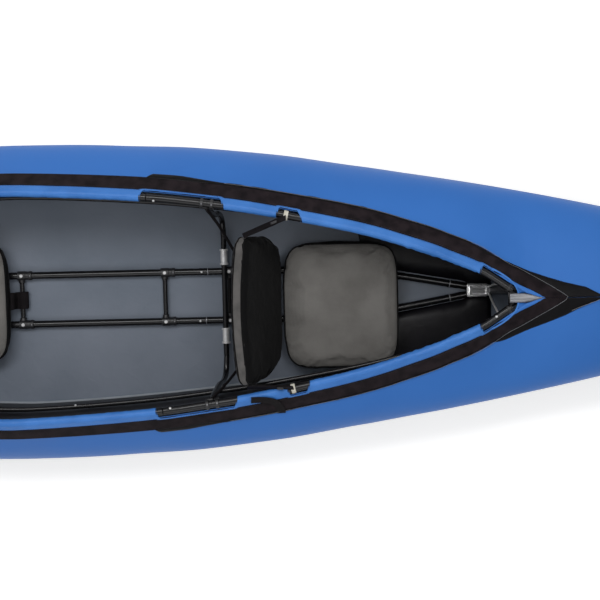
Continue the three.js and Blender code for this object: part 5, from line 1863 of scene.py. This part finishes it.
def inflated(piece: Piece, pressure: float, cap_mm: float, held: Callable[[Vector], float]) -> None:
    """Swells a pad with a cloth simulation, then limits how far any point has moved.

    Args:
        piece: the pad, with an even mesh.
        pressure: the air pressure inside it.
        cap_mm: the most that a point may move.
        held: gives how firmly a point is held, from 0 to 1.
    """
    rest = np.empty(len(piece.data.vertices) * 3)
    piece.data.vertices.foreach_get("co", rest)
    rest = rest.reshape(-1, 3)
    group = piece.vertex_groups.new(name="held")
    for vertex in piece.data.vertices:
        weight = held(vertex.co)
        if weight > 0.01:
            group.add([vertex.index], weight, "REPLACE")
    cloth = piece.modifiers.new("fill", "CLOTH")
    settings = cloth.settings
    settings.quality = 5
    settings.mass = 0.25
    settings.tension_stiffness = settings.compression_stiffness = 12
    settings.shear_stiffness = 6
    settings.bending_stiffness = 0.4
    settings.use_pressure = True
    settings.uniform_pressure_force = pressure
    settings.effector_weights.gravity = 0
    settings.vertex_group_mass = "held"
    settings.pin_stiffness = 0.6
    cloth.point_cache.frame_start, cloth.point_cache.frame_end = 1, 20
    scene = bpy.context.scene
    for frame_number in range(1, 21):
        scene.frame_set(frame_number)
    baked(piece)
    scene.frame_set(1)
    moved = np.empty(len(piece.data.vertices) * 3)
    piece.data.vertices.foreach_get("co", moved)
    shift = moved.reshape(-1, 3) - rest
    far = np.linalg.norm(shift, axis=1, keepdims=True)
    shift *= np.minimum(1.0, cap_mm * MM / np.maximum(far, 1e-9))
    piece.data.vertices.foreach_set("co", (rest + shift).ravel())
    piece.data.update()
    piece.vertex_groups.clear()


@dataclass
class Seats:
    """The two padded seats with their straps and tethers."""
    places: tuple[tuple[str, float, float], ...] = (("front", 793.0, -22.0), ("rear", -375.0, 0.0))
    cushion: Triple = (362.0, 400.0, 62.0)
    cushion_shifts: tuple[Pair, ...] = ((5.0, -11.0), (-6.0, 0.0))
    cushion_foot: float = 30.4
    cushion_corner: float = 0.46
    cushion_front: float = 171.0
    back_height: float = 335.0
    back_widths: Pair = (282.0, 421.0)
    back_thickness: float = 38.0
    back_face: float = -172.4
    back_foot: float = 45.0
    back_bow: float = 18.0
    recline_deg: float = 16.0
    voxel: float = 5.0
    pressure: float = 3.0
    swell_limit: float = 7.0
    strap_width: float = 25.0
    strap_height: float = 338.0
    bands: Pair = (-155.75, -145.75)
    tether_width: float = 18.0
    ring_place: Pair = (150.0, 300.0)
    clamp_ahead: float = -375.0
    rung_at: Pair = (-177.0, 16.0)
    fills: Pair = (0.7, 0.6)

    def cushion_form(self) -> Piece:
        """Builds the cushion at the origin: crowned, with sides that pull in between its corners.

        Returns:
            The cushion's form.
        """
        length, width, height = self.cushion
        count = 96
        rows = []
        for h, inset in ((0, 0.09), (0.1, 0.04), (0.3, 0.01), (0.52, 0.01), (0.72, 0.02), (0.84, 0.07),
                         (0.92, 0.24), (0.955, 0.62)):
            row = []
            for k, (x, y) in enumerate(squarish(self.cushion_corner, count)):
                full = (1 - inset) * (1 - 0.012 * (1 + math.cos(4 * k / count * TURN)))
                row.append((x * length / 2 * full, y * width / 2 * full, self.cushion_foot + height * h))
            rows.append(row)
        form = remeshed(loft("cushion_form", rows), self.voxel)
        foot, aft_edge = (self.cushion_foot + 6) * MM, (8 - length / 2) * MM
        inflated(form, self.pressure, self.swell_limit,
                 lambda co: 1.0 if co.z < foot or co.x < aft_edge else 0.0)
        self.rumple_top(form, Vector((0, 0, 1)), 2.2, 21.0)
        return form

    def rumple_top(self, form: Piece, up: Vector, depth_mm: float, seed: float) -> None:
        """Presses shallow creases into the face that looks along a direction.

        Args:
            form: the form at the origin.
            up: the direction.
            depth_mm: the depth of the creases.
            seed: a shift that makes another pattern.
        """
        fold_size, broad_size = (0.028, 0.11), 0.12
        for vertex in form.data.vertices:
            share = max(0.0, vertex.normal.dot(up)) ** 2
            co = vertex.co
            slant = co.x * 0.9 + co.y * 0.5
            fold = noise.noise(Vector((slant / fold_size[0], co.y / fold_size[1], seed)))
            broad = noise.noise(Vector((co.x / broad_size, co.y / broad_size, seed + 4)))
            vertex.co += up * share * (min(0.0, fold) * depth_mm + broad * 1.5) * MM
        form.data.update()

    def shade_form(self, form: Piece, name: str, at: Pair, zones: Sequence[Finish],
                   zone_of: Callable[[Face], int]) -> Piece:
        """Copies a form to a seat and gives each face the cloth of its zone.

        Args:
            form: the form at the origin.
            name: the copy's name.
            at: where it goes, as X and Y.
            zones: the cloths.
            zone_of: gives the number of a face's cloth.

        Returns:
            The copy.
        """
        piece = form.copy()
        piece.data = form.data.copy()
        piece.name = piece.data.name = name
        bpy.context.scene.collection.objects.link(piece)
        piece.data.transform(Matrix.Translation((at[0] * MM, at[1] * MM, 0)))
        for zone in zones:
            piece.data.materials.append(zone.material())
        for face in piece.data.polygons:
            face.material_index = zone_of(face)
        piece.data.shade_smooth()
        return piece

    def back_point(self, u: float, v: float, depth: float) -> Triple:
        """Gives a point of the backrest at the origin.

        Args:
            u: the share across it, from -1 to 1.
            v: the share up it, from 0 to 1.
            depth: how far behind its face, in millimetres.

        Returns:
            The point, in millimetres.
        """
        tilt = math.radians(self.recline_deg)
        z = self.back_foot + self.back_height * math.cos(tilt) * v
        half = mix(*self.back_widths, min(1.0, 0.25 + v * 2.0)) / 2
        face = self.back_face - (z - self.back_foot) * math.tan(tilt)
        return face - depth - self.back_bow * v * (1 - u * u), u * half, z

    def back_form(self) -> Piece:
        """Builds the backrest at the origin: a padded panel that leans and bows aft.

        Returns:
            The backrest's form.
        """
        rows = []
        for v in (0.012, 0.03, 0.08, 0.16, 0.3, 0.45, 0.6, 0.75, 0.87, 0.94, 0.975, 0.99):
            corner = max(0.0, (v - 0.9) / 0.09) ** 2 * 0.09 + max(0.0, (0.1 - v) / 0.09) ** 2 * 0.08
            full = math.sin(min(1.0, v / 0.1, (1 - v) / 0.05) * math.pi / 2) * 0.2 + 0.79
            us = np.concatenate([np.linspace(-1, -0.86, 7), np.linspace(-0.75, 0.75, 13),
                                 np.linspace(0.86, 1, 7)])
            middle, half = self.back_thickness / 2, self.back_thickness / 2 * full
            ring = []
            for direction, order in ((-1, us), (1, us[::-1])):
                for u in order:
                    thin = (1 - abs(u) ** 14) * 0.3 + 0.68
                    ring.append(self.back_point(u * (1 - corner), v, middle + direction * half * thin))
            rows.append(ring)
        form = remeshed(loft("back_form", rows), self.voxel)
        foot = (self.back_foot + 14) * MM
        inflated(form, self.pressure, self.swell_limit, lambda co: 1.0 if co.z < foot else 0.0)
        self.rumple_top(form, self.back_way(), 1.8, 44.0)
        return form

    def back_way(self) -> Vector:
        """Gives the direction in which the backrest's face looks."""
        tilt = math.radians(self.recline_deg)
        return Vector((math.cos(tilt), 0, math.sin(tilt)))

    def hugged(self, form: Piece, path: Points, lift: float) -> list[np.ndarray]:
        """Draws a path onto a form's surface, lifted off it a little.

        Args:
            form: the form at the origin.
            path: the path, in millimetres.
            lift: how far off the surface.

        Returns:
            The path's points.
        """
        tree = BVHTree.FromObject(form, bpy.context.evaluated_depsgraph_get())
        out = []
        for point in path:
            near, normal, _, _ = tree.find_nearest(Vector(point) * MM)
            out.append(np.array(near + normal * lift * MM) / MM)
        return out

    def cushion_piece(self, seat: str, form: Piece, x: float, y: float) -> None:
        """Builds a seat's cushion with the piping round its crown.

        Args:
            seat: the seat's name.
            form: the form at the origin.
            x: the cushion's X.
            y: its Y.
        """
        length, width, height = self.cushion
        crown = (self.cushion_foot + height * 0.64) * MM
        pad = self.shade_form(form, f"{seat}_cushion_pad", (x, y), (AIR_MESH, PAD_CLOTH),
                              lambda face: 0 if face.center.z > crown and face.normal.z > 0.25 else 1)
        finish_piece(pad, AIR_MESH, replaces=[f"{seat}_cushion"])
        rim_z = self.cushion_foot + height * 0.66
        corners = squarish(self.cushion_corner, 96)
        rim = [(u * length / 2 * 0.98, v * width / 2 * 0.98, rim_z) for u, v in corners]
        rim = self.hugged(form, rim, 0.6)
        piping = tube(f"{seat}_cushion_piping", np.array([*rim, rim[0]]) + (x, y, 0), 3.0, sides=12)
        weld(piping, 0.5)
        finish_piece(piping, PAD_CLOTH)

    def back_piece(self, seat: str, form: Piece, x: float, y: float) -> None:
        """Builds a seat's backrest with the piping round its front and rear edges.

        Args:
            seat: the seat's name.
            form: the form at the origin.
            x: the seat's X.
            y: the seat's Y.
        """
        face_way = self.back_way()

        def zone(face: Face) -> int:
            """Gives 0 on the face, 1 on the edge band and 2 on the back."""
            towards = face.normal.dot(face_way)
            return 0 if towards > 0.5 else (2 if towards < -0.6 else 1)

        panel = self.shade_form(form, f"{seat}_backrest_pad", (x, y),
                                (PAD_CLOTH, EDGE_MESH, PACK_CLOTH), zone)
        finish_piece(panel, EDGE_MESH, f"{seat}_seat_back", [f"{seat}_backrest"])
        sides = [(-1, v) for v in np.linspace(0.05, 0.95, 20)]
        edge = [*sides, *[(u, 1) for u in np.linspace(-0.93, 0.93, 30)],
                *[(1, v) for _, v in reversed(sides)]]
        cords = []
        for name, depth, lift in (("front", 5, 1.0), ("rear", 31, 0.4)):
            near = [self.back_point(u * 0.985, min(v, 0.975), depth) for u, v in edge]
            path = self.hugged(form, near, lift)
            cords.append(dress(tube(f"{seat}_{name}_piping", np.array(path) + (x, y, 0), 2.2, sides=10,
                                    across=(1, 0.02, 0.01)), PAD_CLOTH))
        finish_piece(joined(f"{seat}_back_piping", cords), EDGE_MESH, f"{seat}_seat_back")

    def build(self) -> None:
        """Builds both seats."""
        cushion, back = self.cushion_form(), self.back_form()
        for (seat, x, y), shift in zip(self.places, self.cushion_shifts):
            self.cushion_piece(seat, cushion, x + shift[0], y + shift[1])
            self.back_piece(seat, back, x, y)
            for side in Side:
                self.strap(seat, x, y, side)
            if seat == "front":
                for side in Side:
                    self.tether(x, y, side)
                self.loose_tail(x)
        self.rung_strap()
        for form in (cushion, back):
            bpy.data.objects.remove(form)

    def strap(self, seat: str, x: float, y: float, side: Side) -> None:
        """Builds a strap from its band round the gunwale tube back to the backrest's side.

        Args:
            seat: the seat's name.
            x: the seat's X.
            y: the seat's Y.
            side: the side of the boat.
        """
        s = side.value
        band_x = x + self.bands[0 if side is Side.port else 1]
        centre = np.array([band_x, s * LINES.cockpit(band_x), LINES.gunwale(band_x)])
        way = (20, s * (LINES.cockpit(band_x + 10) - LINES.cockpit(band_x - 10)), 0)
        ring = symmetric([(11.3, -6), (13.2, -6), (13.7, -5.2)])
        band = turned(f"{seat}_{side}_strap_band", ring, centre, way, 36)
        tall = self.back_height * math.cos(math.radians(self.recline_deg))
        v = (self.strap_height - self.back_foot) / tall
        back = np.array(self.back_point(s, v, self.back_thickness / 2)) + (x, y + s * 1.8, 0)
        top = centre + (0, -s * 5, 14.5)
        middle = (back + top) / 2 + (0, 0, -4)
        pieces = []
        for offset in (-1.5, 1.5):
            path = [back + (0, s * offset * 0.3, 0), middle + (0, offset, 0), top + (0, offset * 0.6, 7)]
            run = ribbon(f"{seat}_{side}_run", path, self.strap_width, 2.0, (0, -s * 0.5, 0.87))
            pieces.append(dress(run, BLACK_WEBBING))
        pieces.append(self.buckle(f"{seat}_{side}_buckle", mix(back, top, 0.72) + (0, 0, 1), top - back))
        strap = joined(f"{seat}_{side}_webbing", pieces)
        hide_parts(f"{seat}_seat_{side}_strap")
        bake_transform(strap)
        LOG.info("%s: %d faces", strap.name, len(strap.data.polygons))
        finish_piece(band, PALE_WEBBING)

    def buckle(self, name: str, at: np.ndarray, along: np.ndarray) -> Piece:
        """Builds a ladder buckle that stands on edge in a strap.

        Args:
            name: the object's name.
            at: its centre.
            along: the way of the strap.

        Returns:
            The dressed buckle.
        """
        along = along / np.linalg.norm(along)
        up = np.array([0, 0, 1]) - along[2] * along
        up /= np.linalg.norm(up)
        out = np.cross(along, up)
        return dress(block(name, rounded(20, 31, 4), -3.6, 3.6, 1.2,
                           lambda a, b, h: at + along * a + up * b + out * h), MOULDED_NYLON)

    def loose_tail(self, x: float) -> None:
        """Builds the loose end of the starboard strap, which lies over the sleeve and the tape.

        Args:
            x: the seat's X.
        """
        route = [(x - 265, -6, 15.6), (x - 232, 2, 16.4), (x - 206, 17, 15.6), (x - 190, 38, 14.4),
                 (x - 183, 60, 14.0), (x - 181, 76, 12.8)]
        points = []
        for place, along, lift in route:
            y, z = LINES.beside(place, along, lift)
            points.append((place, -y, z))
        slope = LINES.slope(x - 200)
        up = (0, -math.sin(slope), math.cos(slope))
        tail = ribbon("front_strap_tail", points, self.strap_width, 2.0, up, lying=True)
        finish_piece(tail, BLACK_WEBBING)

    def tether(self, x: float, y: float, side: Side) -> None:
        """Builds the webbing from a rib clamp to the wire ring behind the front backrest.

        Args:
            x: the seat's X.
            y: the seat's Y.
            side: the side of the boat.
        """
        s, clamp_x, width = side.value, x + self.clamp_ahead, self.tether_width
        start = np.array([clamp_x, s * (LINES.cockpit(clamp_x) - 16), LINES.gunwale(clamp_x)])
        tilt = math.radians(self.recline_deg)
        ring_y, ring_z = self.ring_place
        share = (ring_y - 28) / (self.back_widths[1] / 2)
        behind = (ring_z - self.back_foot) * math.tan(tilt) + self.back_thickness
        behind += self.back_bow * (1 - share ** 2) + 3
        centre = np.array([x + self.back_face - behind, y + s * ring_y, ring_z])
        up = np.array([-math.sin(tilt), 0, math.cos(tilt)])
        corners = [centre + (0, s * across, 0) + up * height for across, height in
                   ((14, -10), (14, 10), (11, 13), (-12, 3), (-14, 0), (-12, -3), (11, -13))]
        ring = tube(f"front_{side}_ring", [*corners, corners[0]], 2.2, step=3, sides=12,
                    across=(1, 0.01, 0.01))
        end = centre + (-2, s * 14, 0)
        middle = np.array([mix(start[0], end[0], 0.45), mix(start[1], end[1], 0.4),
                           mix(start[2], ring_z, 0.5) - 3])
        web = ribbon(f"front_{side}_tether_web", [start, middle, end], width, 2.0, (0, -s * 0.6, 0.8))
        fold_path = [end + (-3, s * 9, 0), end + (-3, s * 2, 0), end + (2, -s * 1, 0)]
        fold = ribbon(f"front_{side}_tether_fold", fold_path, width, 3.6, (0, 0, 1), step=3)
        piece = joined(f"front_{side}_tether", [dress(web, BLACK_WEBBING), dress(fold, BLACK_WEBBING),
                                                dress(ring, SATIN_ALUMINIUM)])
        finish_piece(piece, BLACK_WEBBING, replaces=[f"front_seat_{side}_tether"])

    def rung_strap(self) -> None:
        """Builds the webbing that ties the rear cushion to the rung in front of it."""
        x, z = self.rung_at
        reach = self.places[1][1] + self.cushion_front
        path = [(x + 4 + 13.6 * math.cos(a), 0, z + 9.6 * math.sin(a)) for a in np.linspace(-2.6, 2.75, 22)]
        path += [(x - 15, 0, z + 9), (reach + 6, 0, z + 32), (reach - 2, 0, z + 36)]
        web = ribbon("rear_rung_webbing", path, 52, 2.0, (0, 1, 0), step=3)
        finish_piece(web, BLACK_WEBBING, replaces=["rear_seat_rung_strap"])


@dataclass
class Stage:
    """The pale floor, the soft light and the camera above the boat."""
    target: Triple = (671.6, -5.6, 170.0)
    camera_at: Triple = (671.6, 279.4, 3570.0)
    roll_deg: float = 1.3
    lens_mm: float = 69.85
    world_strength: float = 0.5
    key_power: float = 68.0

    def camera(self) -> None:
        """Sets the camera above the boat, tilted and rolled as the photograph was taken."""
        at, target = Vector(self.camera_at) * MM, Vector(self.target) * MM
        forward = (target - at).normalized()
        right = Vector((1, 0, 0))
        right = (right - right.dot(forward) * forward).normalized()
        up = right.cross(forward)
        roll = math.radians(self.roll_deg)
        tilted = right * math.cos(roll) - up * math.sin(roll)
        upright = right * math.sin(roll) + up * math.cos(roll)
        lens = bpy.data.cameras.new("camera")
        lens.lens = self.lens_mm
        lens.clip_end = 100
        camera = bpy.data.objects.new("camera", lens)
        matrix = Matrix((tilted, upright, -forward)).transposed().to_4x4()
        matrix.translation = at
        camera.matrix_world = matrix
        bpy.context.scene.collection.objects.link(camera)
        bpy.context.scene.camera = camera

    def floor(self) -> None:
        """Lays a pale floor that stays white where nothing shades it."""
        size = 14000.0
        corners = [(x * size, y * size, -2) for x, y in ((-1, -1), (1, -1), (1, 1), (-1, 1))]
        piece = mesh_piece("floor", corners, [(0, 1, 2, 3)])
        paint = bpy.data.materials.new("pale_floor")
        paint.use_nodes = True
        tree = paint.node_tree
        tree.nodes.clear()
        path = add_node(tree, "ShaderNodeLightPath")
        seen = add_node(tree, "ShaderNodeMath", {0: path.outputs["Is Camera Ray"],
                                                 1: path.outputs["Is Glossy Ray"]}, operation="ADD")
        seen = add_node(tree, "ShaderNodeMath", {0: seen.outputs[0], 1: path.outputs["Is Transmission Ray"]},
                        operation="ADD", use_clamp=True)
        glow = add_node(tree, "ShaderNodeMath", {0: seen.outputs[0], 1: 0.36}, operation="MULTIPLY")
        cloth = add_node(tree, "ShaderNodeBsdfDiffuse", {"Color": linear("#f4f4f4")})
        white = add_node(tree, "ShaderNodeEmission", {"Color": (1, 1, 1, 1), "Strength": glow.outputs[0]})
        both = add_node(tree, "ShaderNodeAddShader", {0: cloth.outputs[0], 1: white.outputs[0]})
        add_node(tree, "ShaderNodeOutputMaterial", {"Surface": both.outputs[0]})
        piece.data.materials.append(paint)

    def light(self) -> None:
        """Sets an even world, two long soft lamps along the boat and a small one over its bow."""
        world = bpy.data.worlds.new("studio")
        bpy.context.scene.world = world
        world.use_nodes = True
        tree = world.node_tree
        tree.nodes.clear()
        path = add_node(tree, "ShaderNodeLightPath")
        seen = add_node(tree, "ShaderNodeMath", {0: path.outputs["Is Camera Ray"], 1: 1 - self.world_strength,
                                                 2: self.world_strength}, operation="MULTIPLY_ADD")
        sky = add_node(tree, "ShaderNodeBackground", {"Color": (1, 1, 1, 1), "Strength": seen.outputs[0]})
        add_node(tree, "ShaderNodeOutputWorld", {"Surface": sky.outputs[0]})
        for name, at, aim, size, share in (("key", (-100, 1750, 3500), (500, 0, 100), (3.4, 0.8), 1.0),
                                           ("fill", (0, -2500, 3200), (500, 0, 100), (3.4, 1.4), 0.32),
                                           ("bow", (1650, 150, 3600), (1150, 0, 100), (0.9, 0.6), 0.16)):
            lamp = bpy.data.lights.new(name, "AREA")
            lamp.shape, lamp.energy = "RECTANGLE", self.key_power * share
            lamp.size, lamp.size_y = size
            light = bpy.data.objects.new(name, lamp)
            light.location = Vector(at) * MM
            light.rotation_euler = (Vector(aim) * MM - light.location).to_track_quat("-Z", "Y").to_euler()
            bpy.context.scene.collection.objects.link(light)

    def build(self) -> None:
        """Builds the stage and sets the plain view transform."""
        bpy.context.scene.view_settings.view_transform = "Standard"
        self.camera()
        self.floor()
        self.light()


def main() -> None:
    """Builds the stage, the hull, the frame and the seats."""
    logging.basicConfig(level=logging.INFO, format="%(name)s: %(message)s")
    Stage().build()
    Hull().build()
    Frame().build()
    Seats().build()


if __name__ == "__main__":
    main()
